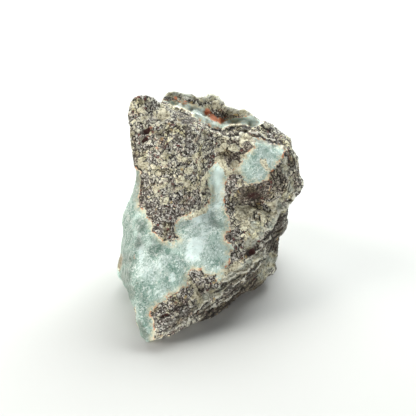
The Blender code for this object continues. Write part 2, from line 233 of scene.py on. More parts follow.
# Dark cracks: partly painted shade just under the ledges and along the layered edges of the right flank.
CRACK_LINES = [
    [(4, 212), (10, 208), (16, 205), (23, 204), (28, 206), (30, 210), (37, 209), (43, 205), (50, 205),
     (54, 203), (58, 199), (65, 198)],
    [(19, 211), (22, 214), (30, 214), (40, 214), (46, 212), (50, 210), (55, 207), (60, 203), (66, 199)],
    [(52, 214), (58, 212), (62, 207), (66, 202), (74, 195)],
    [(10, 55), (15, 58), (20, 60), (26, 63), (30, 66)],
    [(15, 52), (22, 55), (28, 59)],
    [(22, 50), (29, 54), (32, 56)],
    [(4, 49), (12, 54), (18, 58)],
    [(-17, 24), (-10, 30), (-6, 33), (0, 38), (7, 43), (12, 46)],
    [(54, 83), (51, 81), (48, 79), (46, 77), (41, 71), (36, 66)],
    [(58, 109), (62, 112), (65, 117), (68, 124), (71, 129)],
    [(58, 99), (62, 109), (67, 119), (70, 127)],
    [(73, 111), (76, 123), (78, 133)],
    [(74, 189), (78, 181), (81, 173)],
    [(78, 191), (83, 183), (86, 173), (88, 165)],
    [(65, 173), (68, 165), (70, 157)],
    [(61, 169), (64, 161), (68, 151)],
    [(78, 163), (80, 157), (78, 149)],
    [(45, 129), (45, 122)],
    [(49, 127), (50, 120)],
    [(-38, 32), (-33, 35), (-27, 36), (-20, 37)],
    [(-8, 21), (2, 27), (12, 34), (22, 41)],
    [(-49, 24), (-45, 27), (-40, 26)],
    [(54, 103), (58, 107), (61, 110)],
    [(23, 52), (28, 57), (30, 59)],
]
# Soft marks on the side that is seen: middle across and up, half width and height, turn in degrees, strength.
MARKS = {
    # Pale marks: paler crust and brighter patches, and also painted light on flanks and patches that lie in
    # shade.
    "pale": [
        (-35, 179, 27, 21, 0, 0.25), (-70, 226, 11, 13, 0, 0.45), (-45, 214, 14, 11, 0, 0.25),
        (23, 202, 18, 11, 0, 0.3), (43, 121, 18, 19, 0, 1), (18, 250, 50, 11, -10, 0.25),
        (-8, 176, 8, 30, 0, 0.7), (30, 115, 8, 18, 0, 0.8), (54, 178, 6, 6, 0, 0.9),
        (32, 127, 8, 7, 0, 1.6), (-13, 177, 5, 5, 0, 0.9), (-31, 163, 7, 5, 0, 0.9),
        (-47, 156, 5, 5, 0, 0.8), (-22, 171, 6, 5, 0, 0.6), (-44, 141, 4, 4, 0, 0.6),
        (-16, 50, 8, 5, 0, 0.4), (22, 194, 6, 5, 0, 0.5), (-5, 144, 8, 14, 0, 0.5),
        (37, 128, 13, 8, 0, 1.5), (18, 55, 9, 6, 28, 0.5), (-13, 129, 14, 6, 20, 1.2),
        (-6, 162, 6, 9, 0, 1),
    ],
    # Dark marks: darker crust and blue, and also painted shade on the left face, under the ledges, in the
    # hollow under the lobe, and on the lit flank of the channel and the lit top of the lobe.
    "dark": [
        (43, 147, 12, 7, -8, 0.8), (33, 102, 5, 5, 0, 0.4), (-10, 59, 8, 8, 0, 0.3),
        (70, 166, 8, 12, 20, 0.3), (22, 231, 12, 3, -8, 0.4), (52, 215, 10, 2, -15, 0.3),
        (-15, 244, 12, 2, -8, 0.3), (7, 30, 29, 6, 28, 0.6), (41, 55, 21, 7, 35, 0.6),
        (70, 107, 9, 32, -18, 0.45), (-29, 13, 14, 4, 25, 0.3), (42, 89, 9, 6, 30, 1),
        (-83, 91, 9, 50, 0, 1), (-70, 36, 11, 34, 12, 0.7), (62, 97, 5, 8, 0, 0.8), (63, 85, 3, 4, 0, 0.6),
        (23, 42, 40, 8, 31, 1.1), (46, 86, 4, 4, 0, 0.7), (25, 105, 5, 14, 0, 0.15),
        (30, 63, 34, 8, 35, 0.8), (-48, 221, 26, 16, 0, 0.4), (-13, 246, 8, 4, -15, 0.8),
        (30, 233, 13, 3, -10, 0.4), (-36, 250, 8, 3, 10, 0.5), (54, 199, 22, 2, -12, 1.5),
        (-68, 178, 6, 5, 0, 0.5), (-30, 237, 5, 3, -20, 1.8), (-15, 230, 8, 2, -28, 1.1),
        (-3, 223, 8, 2, -30, 0.9), (22, 145, 20, 8, 0, 0.25), (24, 177, 6, 5, 0, 0.6),
        (15, 204, 6, 3, 0, 0.4), (17, 72, 5, 4, 0, 0.4), (-42, 219, 26, 18, 0, 0.22),
        (-40, 173, 28, 26, 0, 0.12), (-18, 49, 26, 14, 30, 0.25), (-4, 181, 8, 26, 0, 0.12),
        (-72, 164, 6, 13, 5, 1.2), (-74, 146, 7, 11, 0, 1), (-77, 133, 8, 8, 0, 0.8),
        (-84, 82, 7, 8, 0, 1.35), (-84, 65, 7, 10, 0, 1.35), (-80, 49, 7, 10, 0, 1.3),
        (-69, 116, 8, 9, 0, 0.95), (-72, 100, 7, 8, 0, 0.85), (-55, 91, 8, 7, 0, 0.75),
        (-92, 81, 4, 9, 0, 1.6), (-67, 12, 5, 13, 25, 1.3), (27, 215, 16, 2, 3, 0.55),
        (-24, 25, 24, 5, 28, 0.7), (-12, 41, 10, 8, 28, 0.5), (-64, 199, 9, 8, 0, 0.35),
        (-60, 171, 12, 13, 0, 0.4), (-5, 48, 15, 9, 28, 0.6), (67, 149, 9, 9, 0, 0.4),
        (-27, 223, 14, 6, -24, 0.7), (-4, 155, 2, 8, -10, 0.8),
    ],
    # Pit marks: dark pits, and also painted shade in the hollow under the lobe and in the groove beside the
    # slab.
    "pit": [
        (-63, 210, 4, 3, 25, 1), (-65, 201, 4, 2, 20, 1), (-45, 27, 5, 2, 5, 0.6), (43, 146, 9, 5, 0, 0.5),
        (-9, 179, 3, 12, -4, 0.3), (42, 89, 4, 4, 30, 0.8),
    ],
    "rust": [
        (-2, 230, 4, 4, -40, 1), (3, 224, 5, 3, -35, 1), (10, 221, 5, 2, 0, 1), (15, 224, 3, 1, 25, 0.6),
        (-45, 241, 2, 1, 0, 0.5), (-35, 244, 2, 2, 20, 0.9), (-25, 240, 2, 1, -20, 0.8),
        (-20, 122, 2, 2, 20, 0.5), (-75, 85, 1, 3, -8, 0.5), (-62, 51, 1, 3, 20, 0.5),
        (-61, 212, 5, 2, 20, 0.45), (-60, 205, 5, 1, 25, 0.5), (-53, 194, 2, 2, 0, 0.5),
        (-69, 205, 2, 5, 0, 0.3), (30, 225, 6, 1, 5, 0.5), (-10, 149, 4, 6, 0, 0.3),
        (20, 164, 5, 4, 0, 0.35), (-50, 119, 8, 8, 0, 0.2), (-21, 141, 9, 8, 0, 0.3),
        (52, 139, 5, 5, 0, 0.3), (-11, 181, 5, 9, 0, 0.3), (10, 247, 5, 2, 0, 0.3), (28, 55, 3, 1, 33, 0.3),
        (-14, 28, 4, 1, 50, 0.3),
    ],
    # Veil marks: white clouding, and also painted light on the shaded vein, channel and hollows, and painted
    # highlights where the blue shines.
    "veil": [
        (5, 174, 4, 6, 0, 0.8), (8, 126, 7, 6, 20, 0.5), (-10, 119, 9, 5, 30, 0.35),
        (-38, 62, 3, 4, 0, 0.6), (-51, 71, 3, 5, -10, 0.5), (-33, 81, 4, 3, 0, 0.4),
        (54, 179, 6, 7, 0, 0.5), (47, 166, 7, 5, 0, 0.4), (60, 191, 5, 4, 0, 0.4), (4, 89, 8, 5, 0, 0.3),
        (-70, 31, 4, 10, 10, 0.4), (-82, 121, 4, 16, 8, 0.35), (-67, 106, 6, 5, 0, 0.3),
        (-82, 71, 4, 12, -5, 0.3), (-57, 119, 4, 3, 0, 0.4), (8, 170, 7, 16, 0, 0.8),
        (-16, 92, 10, 13, -12, 1.1), (-8, 103, 7, 10, -25, 0.75), (-9, 95, 12, 13, 0, 0.35),
        (-60, 71, 13, 11, -15, 0.6), (-68, 87, 3, 11, 0, 1), (-58, 79, 14, 18, 0, 0.3),
        (-50, 76, 2, 5, -10, 0.9), (-37, 64, 3, 5, 0, 0.9), (-32, 81, 3, 3, 0, 0.7),
        (-44, 79, 2, 4, 20, 0.6), (-9, 235, 10, 3, -30, 1), (27, 224, 20, 4, 2, 1.2),
        (2, 220, 7, 3, -20, 0.6), (-20, 235, 10, 4, -28, 1.3), (-6, 226, 9, 5, -35, 1.6),
        (30, 220, 20, 6, -6, 1.8), (4, 224, 9, 4, -25, 1.2), (8, 153, 8, 26, 0, 1),
        (-20, 113, 9, 9, 0, 0.45), (-6, 127, 9, 8, 0, 0.8), (-2, 115, 11, 9, 0, 0.6),
        (7, 160, 6, 16, 0, 1.2), (-10, 124, 13, 8, 20, 0.9), (8, 166, 4, 9, 0, 1.25),
    ],
    # Teal marks: deeper blue, and also painted shade on the left face and lower front.
    "teal": [
        (-50, 91, 14, 7, 5, 0.9), (-57, 84, 7, 5, 0, 1), (-34, 75, 8, 9, 0, 0.9), (-69, 111, 7, 9, 10, 0.5),
        (2, 114, 8, 10, 0, 0.6), (4, 81, 7, 5, 0, 0.8), (-23, 111, 8, 6, 0, 0.5), (5, 121, 5, 7, 0, 0.4),
        (-60, 58, 7, 6, 0, 0.5), (-42, 59, 9, 5, 0, 0.6), (45, 175, 7, 6, 0, 0.7), (45, 184, 5, 5, 0, 0.5),
        (-20, 89, 10, 6, 0, 0.4), (-82, 96, 6, 43, 0, 0.85), (-70, 46, 9, 21, 15, 0.8),
        (-64, 30, 16, 30, 0, 0.8), (-78, 75, 7, 40, 0, 0.7), (-80, 120, 5, 20, 0, 0.5),
        (-42, 89, 12, 9, 0, 0.35), (-20, 71, 14, 10, 0, 0.2), (-69, 116, 9, 9, 0, 0.5),
        (-72, 100, 7, 8, 0, 0.4),
    ],
    # Shelf marks lay the thin shelves of the right flank, whose lips get a painted highlight and whose gaps
    # painted shade.
    "shelf": [
        (30, 56, 40, 12, 31, 1), (5, 41, 40, 9, 28, 1), (62, 91, 12, 28, -18, 1),
        (80, 131, 9, 24, -20, 0.9), (80, 181, 12, 18, -60, 0.7), (65, 216, 16, 7, -35, 0.7),
        (-25, 24, 30, 6, 25, 0.8), (25, 239, 45, 7, -12, 0.6),
    ],
}
# Each mark is whole up to the first of these shares of its half size, and gone at the second.
MARK_FADE = (0.55, 1.35)
# Ridges and cracks reach this many mm to either side of their lines.
RIDGE_REACH = 0.28
CRACK_REACH = 0.28
# The outlines of patches wander by about this many mm, so that they aren't smooth curves.
SHAKE = 0.3
# Distances to an outline are kept up to this many mm.
EDGE_LIMIT = 5
# The side that is seen turns into the hidden one between these slopes towards the viewer.
HIDDEN_FROM = -0.22
SEEN_FULLY = 0.04

# Patches on the seen side, and the slow noise that lays them out on the hidden one: its size in mm, its seed,
# how far it swings and about which level.
AREAS = {
    "cream_mm": (CREAM_OUTLINES, 3.2, 27.0, 3, -2.4),
    "chalk_mm": (CHALK_OUTLINES, 4.0, 37.0, 3, -3),
    # Dark areas: darker crust, partly painted shade in hollows and undercuts.
    "dark_mm": (DARK_OUTLINES, 4.5, 41.0, 4, -2.5),
    "fine_mm": (FINE_OUTLINES, 7.0, 31.0, 5, 0),
}
# On the hidden side the left flank is bluer below the first of these heights in mm, and not above the second.
BLUE_BELOW = (24, 34)

# Directions: the shelves on the right flank are stacked up the first. Long fibres in the blue run along the
# second, down the left face, and finer ones cross them. Streaks in the chalky patches run along the last.
SHELF_UP = (-0.29, -0.11, 0.95)
FIBRE_ALONG = (0.08, -0.78, -0.62)
CROSSED_ALONG = (0.75, 0.3, 0.55)
STREAK_ALONG = (0.7, 0.1, 0.7)
SHELF_SPACING = 1.5
# Flakes in the crust lie along these directions, each with its own size in mm, share of cells and seed.
FLAKES = [
    ((0.6, -0.4, 0.7), 0.85, 0.16, 29.0),
    ((-0.5, -0.7, 0.4), 0.95, 0.14, 33.0),
    ((0.1, 0.8, 0.5), 0.7, 0.16, 35.0),
]

# Noise patterns: size of the lumps in mm, detail, roughness and seed.
EDGE_WAVES = (1.6, 3.0, 0.6, 3.1)
EDGE_FRAY = (0.5, 2.0, 0.6, 71.0)
SHELF_WAVES = (5.5, 2.0, 0.5, 11.0)
LUMPS = (2.6, 3.0, 0.55, 5.0)
GRIT = (0.9, 1.0, 0.5, 9.0)
HAMMERED = (4.5, 2.0, 0.5, 13.0)
FIBRES = (1.0, 2.0, 0.5, 17.0)
SILK = (0.75, 3.0, 0.7, 53.0)
MOTTLING = (0.5, 2.0, 0.7, 31.0)
PATCHES = (0.9, 3.0, 0.65, 37.0)
GROUND_TONES = (3.2, 3.0, 0.6, 41.0)
OLIVE_TONES = (3.5, 3.0, 0.6, 43.0)
BLUSHES = (2.2, 4.0, 0.65, 91.0)
STREAKS = (0.6, 3.0, 0.7, 97.0)
CHALK_TONES = (2.2, 3.0, 0.6, 93.0)
EDGE_CHALK = (1.1, 3.0, 0.65, 67.0)
RIM_TONES = (1.7, 3.0, 0.65, 73.0)
RIM_GAPS = (1.1, 3.0, 0.65, 79.0)
# Pushes that make what is laid out ragged: their size and reach in mm, and seed.
CLAST_PUSH = (0.9, 0.35, 7.0)
CHIP_PUSH = (0.8, 0.25, 83.0)
SPECK_PUSH = (0.4, 0.12, 23.0)
STREAK_PUSH = (1.5, 0.4, 95.0)
BLUE_PUSH = (2.4, 0.9, 47.0)
# Ragged areas: size and reach of the bites in their edges, where they begin and are whole, in mm, and seed.
FINE_AREA = (1.5, 2.2, -0.4, 0.5, 15.0)
CREAM_AREA = (0.75, 1.2, -0.17, 0.0, 19.0)
DARK_AREA = (1.0, 1.4, -0.25, 0.15, 87.0)
CHALK_AREA = (1.1, 1.3, -0.25, 0.0, 39.0)

# How far the finer relief stands out.
LUMP_RISE = 0.9 * MM
CHIP_RISE = 0.12 * MM
GRIT_RISE = 0.4 * MM
HAMMERED_RISE = 0.45 * MM
FIBRE_RISE = 0.3 * MM
BLUE_GRIT_RISE = 0.2 * MM
RIDGE_RISE = 0.3 * MM
CRACK_DEPTH = 0.3 * MM
BUMP_RISE = 0.16 * MM
# The relief fades out towards the flat base over this many mm. How soon depends on how far the stone faces
# down, by this level and slope.
BASE_FADE = 2.5
BASE_LEVEL = 1.6
BASE_SLOPE = 2

# Colours that aren't settings, as red, green and blue.
FINE_GROUND = (0.2, 0.168, 0.147)
DULL_CREAM = (0.46, 0.45, 0.36)
HOLLOW_CREAM = (0.3, 0.285, 0.23)
# Paler grey of the shelves' lips, a painted highlight.
SHELF_LIP_HIGHLIGHT = (0.4, 0.41, 0.35)
RED_GRAIN = (0.15, 0.04, 0.035)
TAN_GRAIN = (0.5, 0.37, 0.16)
# Cream of the pale ridges, also a painted highlight on lit edges.
RIDGE_CREAM_AND_HIGHLIGHT = (0.82, 0.81, 0.7)
# Near black of the pits, also painted shade in hollows.
PIT_AND_SHADE_BLACK = (0.04, 0.01, 0.008)
WHITE_FLECK = (0.88, 0.93, 0.83)
GREEN_FLECK = (0.12, 0.22, 0.17)
EDGE_CREAM = (0.76, 0.72, 0.52)
PALE_RIM = (0.84, 0.74, 0.52)
# Tints that darken or turn the colour under them. The dim ones and the deep shade darken what is marked dark,
# partly darker stone and partly painted shade; the plain tint dulls patches that aren't marked pale, so that
# the pale marks also paint light.
DARK_AND_SHADED_CRUST = (0.6, 0.54, 0.48)
DARK_AND_SHADED_FLAKE = (0.66, 0.63, 0.55)
DARK_AND_SHADED_PATCH = (0.4, 0.36, 0.31)
DARK_AND_SHADED_BLUE = (0.32, 0.31, 0.28)
PLAIN_PATCH = (0.8, 0.785, 0.77)
DEEP_SHADE = (0.2, 0.16, 0.13)
OLIVE = (0.75, 0.7, 0.45)
BLUSH = (0.66, 0.44, 0.4)
# Scales of colour: where each colour lies from 0 to 1, and the colour.
GROUND_SCALE = ((0.38, (0.24, 0.22, 0.175)), (0.5, (0.135, 0.12, 0.1)), (0.6, (0.14, 0.125, 0.072)))
GRAIN_SCALE = (
    (0.2, (0.018, 0.014, 0.012)), (0.46, (0.15, 0.132, 0.114)), (0.72, (0.38, 0.357, 0.31)),
    (0.88, (0.9, 0.89, 0.8)),
)
FLAKE_SCALE = ((0.0, (0.3, 0.28, 0.22)), (0.3, (0.62, 0.59, 0.45)), (0.7, (0.88, 0.86, 0.72)))
CHALK_SCALE = (
    (0.38, (0.1, 0.09, 0.07)), (0.44, (0.44, 0.44, 0.36)), (0.55, (0.64, 0.65, 0.56)),
    (0.63, (0.92, 0.91, 0.76)),
)
CHALK_TINTS = ((0.4, (0.9, 0.98, 1.0)), (0.5, (1.0, 1.0, 0.96)), (0.6, (1.0, 0.96, 0.76)))
CREAM_SCALE = ((0.42, (0.3, 0.27, 0.19)), (0.48, (0.76, 0.71, 0.49)), (0.56, (0.97, 0.95, 0.76)))

# The channel behind the brow is filled up here: right of the middle, further back, reach and lift in mm.
CHANNEL_FILL = [
    (-7, 21, 3.6, 1.5), (-3, 20.5, 3.8, 2.2), (1, 20.3, 3.8, 2.6), (5, 20, 3.8, 2.4), (9, 20, 3.6, 2.2),
    (12.5, 20, 3, 1.2),
]
# The lift is whole up to the first of these shares of its reach, and gone at the second.
FILL_FADE = (0.4, 1.05)
SMOOTH_STEPS = 6
MERGE_WITHIN = 0.01 * MM
# Points that lie this low, in mm, and whose normals point down by more than this belong to the flat base.
FLAT_WITHIN = 0.4
FLAT_NORMAL = -0.4

# Soft lights, each named for the setting that holds its power. Each has how far it stands clockwise from
# straight behind the stone and how far up, in degrees, its size in m and its colour.
LIGHTS = {
    "back": (5, 37, (1.0, 0.35), (0.97, 1.0, 0.985)),
    "back_right": (20, 42, (0.35, 0.35), (0.97, 1.0, 0.985)),
    "left": (285, 36, (0.4, 0.3), (1.0, 0.975, 0.92)),
    "low_left": (215, 5, (0.3, 0.14), (1.0, 0.99, 0.96)),
    "low_right": (140, 7, (0.3, 0.14), (1.0, 1.0, 1.0)),
}
# The lights stand this many m from the middle of the floor and face this point.
LIGHT_DISTANCE = 0.8
LIT_POINT = Vector((0, 0, 0.02))
FLOOR_SIZE = 6
# The camera's film is this many mm wide. It sees this many m far, and looks at this point.
FILM_WIDTH = 36
SIGHT_LIMIT = 20
VIEW_MIDDLE = Vector((-0.56, 0, 23.1)) * MM


class StoneLook(bpy.types.PropertyGroup):
    """Sizes and colours of the stone."""

    skin_step: bpy.props.FloatProperty(
        name="Skin step", description="Distance between neighbouring points of the fine skin",
        default=0.36 * MM, min=0.3 * MM, max=2 * MM, precision=5, subtype="DISTANCE", unit="LENGTH")
    crust_rise: bpy.props.FloatProperty(
        name="Crust rise", description="How far the crust stands proud of the blue",
        default=0.32 * MM, min=0, max=1 * MM, precision=5, subtype="DISTANCE", unit="LENGTH")
    clast_rise: bpy.props.FloatProperty(
        name="Clast rise", description="How far the pale clasts stand out of the crust",
        default=0.16 * MM, min=0, max=1 * MM, precision=5, subtype="DISTANCE", unit="LENGTH")
    pit_depth: bpy.props.FloatProperty(
        name="Pit depth", description="Depth of the marked pits",
        default=0.9 * MM, min=0, max=2 * MM, precision=5, subtype="DISTANCE", unit="LENGTH")
    shelf_depth: bpy.props.FloatProperty(
        name="Shelf depth", description="How far the thin shelves of the right flank stand out",
        default=0.4 * MM, min=0, max=1 * MM, precision=5, subtype="DISTANCE", unit="LENGTH")
    blue: bpy.props.FloatVectorProperty(
        name="Blue", description="Pale blue of the larimar",
        subtype="COLOR", size=3, min=0, max=1, default=(0.455, 0.585, 0.525))
    # White clouding, which the veil marks also lay as painted light and painted highlights.
    veil: bpy.props.FloatVectorProperty(
        name="Veil", description="White clouding in the blue",
        subtype="COLOR", size=3, min=0, max=1, default=(0.8, 0.9, 0.86))
    # Whitest clouds, also the colour of the painted highlights where the blue shines.
    whitest_and_highlight: bpy.props.FloatVectorProperty(
        name="Glow", description="Whitest clouds",
        subtype="COLOR", size=3, min=0, max=1, default=(0.78, 0.95, 0.93))
    # Deep blue, which the teal marks also lay as painted shade on the left face.
    teal: bpy.props.FloatVectorProperty(
        name="Teal", description="Deep, clear green blue between the clouds",
        subtype="COLOR", size=3, min=0, max=1, default=(0.2, 0.34, 0.28))
    crust_dark: bpy.props.FloatVectorProperty(
        name="Dark crust", description="Darkest grains and hollows of the basalt",
        subtype="COLOR", size=3, min=0, max=1, default=(0.022, 0.017, 0.014))
    clast: bpy.props.FloatVectorProperty(
        name="Clast", description="Cream clasts and flakes in the basalt",
        subtype="COLOR", size=3, min=0, max=1, default=(0.95, 0.91, 0.69))
    rust: bpy.props.FloatVectorProperty(
        name="Rust", description="Iron stain",
        subtype="COLOR", size=3, min=0, max=1, default=(0.98, 0.36, 0.19))
    rim: bpy.props.FloatVectorProperty(
        name="Rim", description="Orange stain along the edge of the crust",
        subtype="COLOR", size=3, min=0, max=1, default=(0.6, 0.22, 0.08))


class StageLook(bpy.types.PropertyGroup):
    """The floor, the lights and the camera."""

    floor: bpy.props.FloatVectorProperty(
        name="Floor", description="Colour of the plain floor",
        subtype="COLOR", size=3, min=0, max=1, default=(0.62, 0.625, 0.615))
    back: bpy.props.FloatProperty(
        name="Back light", description="Power of the wide main light, above and behind the stone",
        default=11.7, min=0, unit="POWER")
    back_right: bpy.props.FloatProperty(
        name="Back right light", description="Power of the light behind and to the right",
        default=3.5, min=0, unit="POWER")
    left: bpy.props.FloatProperty(
        name="Left light", description="Power of the warm light on the left",
        default=4.1, min=0, unit="POWER")
    low_left: bpy.props.FloatProperty(
        name="Low left light", description="Power of the low light in front and to the left",
        default=4.2, min=0, unit="POWER")
    low_right: bpy.props.FloatProperty(
        name="Low right light", description="Power of the low light in front and to the right",
        default=2.5, min=0, unit="POWER")
    fill: bpy.props.FloatProperty(
        name="Fill light", description="Strength of the even light from all round",
        default=0.055, min=0)
    distance: bpy.props.FloatProperty(
        name="Camera distance", description="From the camera to the stone",
        default=1.5, min=0.2, subtype="DISTANCE", unit="LENGTH")
    view_width: bpy.props.FloatProperty(
        name="View width", description="Width that the camera takes in at the stone",
        default=0.1165, min=0.05, subtype="DISTANCE", unit="LENGTH")


def put(tree, kind, values=None, **settings):
    """A new node with its settings, and with its inputs set to values or joined to other nodes' outputs."""
    node = tree.nodes.new(kind)
    for name, value in settings.items():
        setattr(node, name, value)
    for key, value in (values or {}).items():
        if isinstance(value, bpy.types.NodeSocket):
            tree.links.new(value, node.inputs[key])
        else:
            node.inputs[key].default_value = value
    return node


def calc(tree, operation, a, b=0.0, c=0.0):
    """The result of one sum on numbers."""
    return put(tree, "ShaderNodeMath", {0: a, 1: b, 2: c}, operation=operation).outputs[0]


def plus(tree, a, b):
    """The sum of two numbers."""
    return calc(tree, "ADD", a, b)


def minus(tree, a, b):
    """The first number less the second."""
    return calc(tree, "SUBTRACT", a, b)


def times(tree, a, b):
    """The product of two numbers."""
    return calc(tree, "MULTIPLY", a, b)


def times_plus(tree, a, b, c):
    """The product of a and b, with c added."""
    return calc(tree, "MULTIPLY_ADD", a, b, c)


def vector(tree, operation, a, b):
    """The result of one sum on vectors."""
    return put(tree, "ShaderNodeVectorMath", {0: a, 1: b}, operation=operation).outputs[0]


def resized(tree, a, factor):
    """A vector made so many times as long."""
    return put(tree, "ShaderNodeVectorMath", {0: a, "Scale": factor}, operation="SCALE").outputs[0]


def reach_along(tree, a, direction):
    """How far a vector goes in a direction."""
    return put(tree, "ShaderNodeVectorMath", {0: a, 1: direction}, operation="DOT_PRODUCT").outputs[1]


def span(tree, value, low, high, to_low=0.0, to_high=1.0):
    """A smooth step from one value to another while the input goes from low to high."""
    values = {"Value": value, "From Min": low, "From Max": high, "To Min": to_low, "To Max": to_high}
    return put(tree, "ShaderNodeMapRange", values, interpolation_type="SMOOTHSTEP").outputs[0]


def mixed(tree, share, a, b):
    """A number part way from a to b."""
    return put(tree, "ShaderNodeMix", {0: share, 2: a, 3: b}, data_type="FLOAT").outputs[0]


def blended(tree, share, a, b, blend="MIX"):
    """A colour part way from a to b."""
    values = {0: share}
    for key, colour in ((6, a), (7, b)):
        values[key] = colour if isinstance(colour, bpy.types.NodeSocket) else (*colour, 1.0)
    return put(tree, "ShaderNodeMix", values, data_type="RGBA", blend_type=blend).outputs[2]


def soft_noise(tree, place, size, detail, roughness, seed):
    """A node of soft noise whose lumps are size mm apart."""
    moved = vector(tree, "ADD", place, (seed, 1.7 * seed, -0.9 * seed))
    values = {"Vector": moved, "Scale": 1 / size, "Detail": detail, "Roughness": roughness}
    return put(tree, "ShaderNodeTexNoise", values, normalize=True)


def cloud(tree, place, *pattern):
    """Soft noise from 0 to 1."""
    return soft_noise(tree, place, *pattern).outputs["Fac"]


def swing(tree, place, *pattern):
    """Soft noise about nought, so that it can be added to what is there."""
    return minus(tree, cloud(tree, place, *pattern), 0.5)


def ragged(tree, place, size, reach, seed):
    """The place pushed about by up to reach mm, so that what is laid out on it gets ragged edges."""
    pushes = soft_noise(tree, place, size, 2.0, 0.6, seed).outputs["Color"]
    push = vector(tree, "SUBTRACT", pushes, (0.5, 0.5, 0.5))
    return vector(tree, "ADD", place, resized(tree, push, 2.5 * reach))


def stretched(tree, place, along, factor):
    """The place squeezed along one direction, so that what is laid out on it runs on in that direction."""
    direction = Vector(along).normalized()
    back = times(tree, reach_along(tree, place, direction), factor - 1)
    return vector(tree, "ADD", place, resized(tree, direction, back))


def ramp(tree, value, *stops):
    """A colour read off a scale of places and colours."""
    node = put(tree, "ShaderNodeValToRGB", {0: value})
    scale = node.color_ramp
    for stop, (at, colour) in zip((scale.elements[0], scale.elements[1]), (stops[0], stops[-1])):
        stop.position = at
        stop.color = (*colour, 1)
    for at, colour in stops[1:-1]:
        scale.elements.new(at).color = (*colour, 1)
    return node.outputs[0]


def clasts(tree, place, size, share, gap, soft):
    """Angular clasts in a share of cells of that size.

    Back come a mask, the gap round the clasts, how deep inside its cell a place lies, and two numbers a cell.
    """
    cell = put(tree, "ShaderNodeTexVoronoi", {"Vector": place, "Scale": 1 / size}, feature="F1")
    edge = put(tree, "ShaderNodeTexVoronoi", {"Vector": place, "Scale": 1 / size}, feature="DISTANCE_TO_EDGE")
    draw = put(tree, "ShaderNodeSeparateXYZ", {0: cell.outputs["Color"]})
    chosen = calc(tree, "LESS_THAN", draw.outputs[0], share)
    body = times(tree, chosen, span(tree, edge.outputs["Distance"], gap, gap + soft))
    border = minus(tree, chosen, body)
    return body, border, edge.outputs["Distance"], draw.outputs[1], draw.outputs[2]


def crust_edge(tree, place, blue_mm):
    """How many mm a place lies on the blue side of the crust's ragged edge."""
    return times_plus(tree, swing(tree, place, *EDGE_WAVES), 1.7, blue_mm)


def big_clasts(tree, place, pale, finer):
    """The larger pale clasts, which both the relief and the colours use."""
    laid = ragged(tree, place, *CLAST_PUSH)
    share = times_plus(tree, pale, 0.6, times_plus(tree, finer, -0.14, 0.16))
    return clasts(tree, laid, 1.45, share, 0.06, 0.06)


def area(tree, place, inside_mm, size, reach, low, high, seed):
    """From 0 to 1, whether a place belongs to an area, whose edge has bites of that size and reach in mm."""
    bites = swing(tree, place, size, 3.0, 0.62, seed)
    return span(tree, times_plus(tree, bites, reach, inside_mm), low, high)


def shelves(tree, place):
    """The saw profile of the thin shelves, from 0 in a gap to 1 at a lip."""
    up = reach_along(tree, place, SHELF_UP)
    wander = cloud(tree, place, *SHELF_WAVES)
    turn = times_plus(tree, wander, 2.6, times(tree, up, 1 / SHELF_SPACING))
    saw = calc(tree, "FRACT", turn)
    rise = span(tree, saw, 0.0, 0.75)
    fall = span(tree, saw, 0.86, 1.0, 1.0, 0.0)
    return times(tree, rise, fall)


def picture_of(places):
    """Where places, in mm, are seen: mm right of the middle and mm up from the front tip."""
    up = places[:, 2] * cos(SEEN_FROM) + places[:, 1] * sin(SEEN_FROM) + TIP_BELOW_MIDDLE
    return np.stack([places[:, 0], up], 1)


def distance_to(points, a, b):
    """How far each point lies from the straight line between a and b."""
    run = b - a
    along = np.clip((points - a) @ run / max(run @ run, 1e-9), 0, 1)
    return np.linalg.norm(points - a - along[:, None] * run, axis=1)


def inside_by(points, outline):
    """How far each point lies inside a closed outline; a minus sign is outside."""
    corners = np.array(outline, float) * MARK_STEP
    nearest = np.full(len(points), 1e9)
    inside = np.zeros(len(points), bool)
    for a, b in zip(corners, np.roll(corners, -1, 0)):
        nearest = np.minimum(nearest, distance_to(points, a, b))
        crosses = (a[1] > points[:, 1]) != (b[1] > points[:, 1])
        rise = b[1] - a[1] if abs(b[1] - a[1]) > 1e-9 else 1e-9
        inside ^= crosses & (points[:, 0] < a[0] + (points[:, 1] - a[1]) * (b[0] - a[0]) / rise)
    return np.where(inside, nearest, -nearest)


def inside_any(points, outlines):
    """How far each point lies inside the nearest of some outlines."""
    return np.max([inside_by(points, outline) for outline in outlines], axis=0)


def on_lines(points, lines, reach):
    """From 0 to 1, how close each point is to some lines of points."""
    nearest = np.full(len(points), 1e9)
    for line in lines:
        corners = np.array(line, float) * MARK_STEP
        for a, b in zip(corners, corners[1:]):
            nearest = np.minimum(nearest, distance_to(points, a, b))
    return np.clip(1 - nearest / reach, 0, 1)


def step(values, low, high):
    """0 below low, 1 above high, and smooth between."""
    share = np.clip((values - low) / (high - low), 0, 1)
    return share * share * (3 - 2 * share)


def marked(points, marks):
    """How strongly soft marks cover each point."""
    cover = np.zeros(len(points))
    for across, up, wide, high, turn, strength in marks:
        c = cos(radians(turn))
        s = sin(radians(turn))
        right = points[:, 0] / MARK_STEP - across
        above = points[:, 1] / MARK_STEP - up
        x = right * c + above * s
        y = above * c - right * s
        reach = np.sqrt((x / wide) ** 2 + (y / high) ** 2)
        cover = np.maximum(cover, strength * (1 - step(reach, *MARK_FADE)))
    return cover


def swells(places, size, seed):
    """Slow noise for each place, about from -1 to 1."""
    shift = Vector((seed, 2.3 * seed, 3.1 * seed))
    return np.array([noise.fractal(Vector(p) / size + shift, 1.0, 2.0, 3) for p in places]) * 1.6


def between(seen, there, hidden):
    """Values for the side that is seen, turning into those for the hidden side."""
    limits = (-EDGE_LIMIT, EDGE_LIMIT)
    return np.clip(there, *limits) * seen + np.clip(hidden, *limits) * (1 - seen)


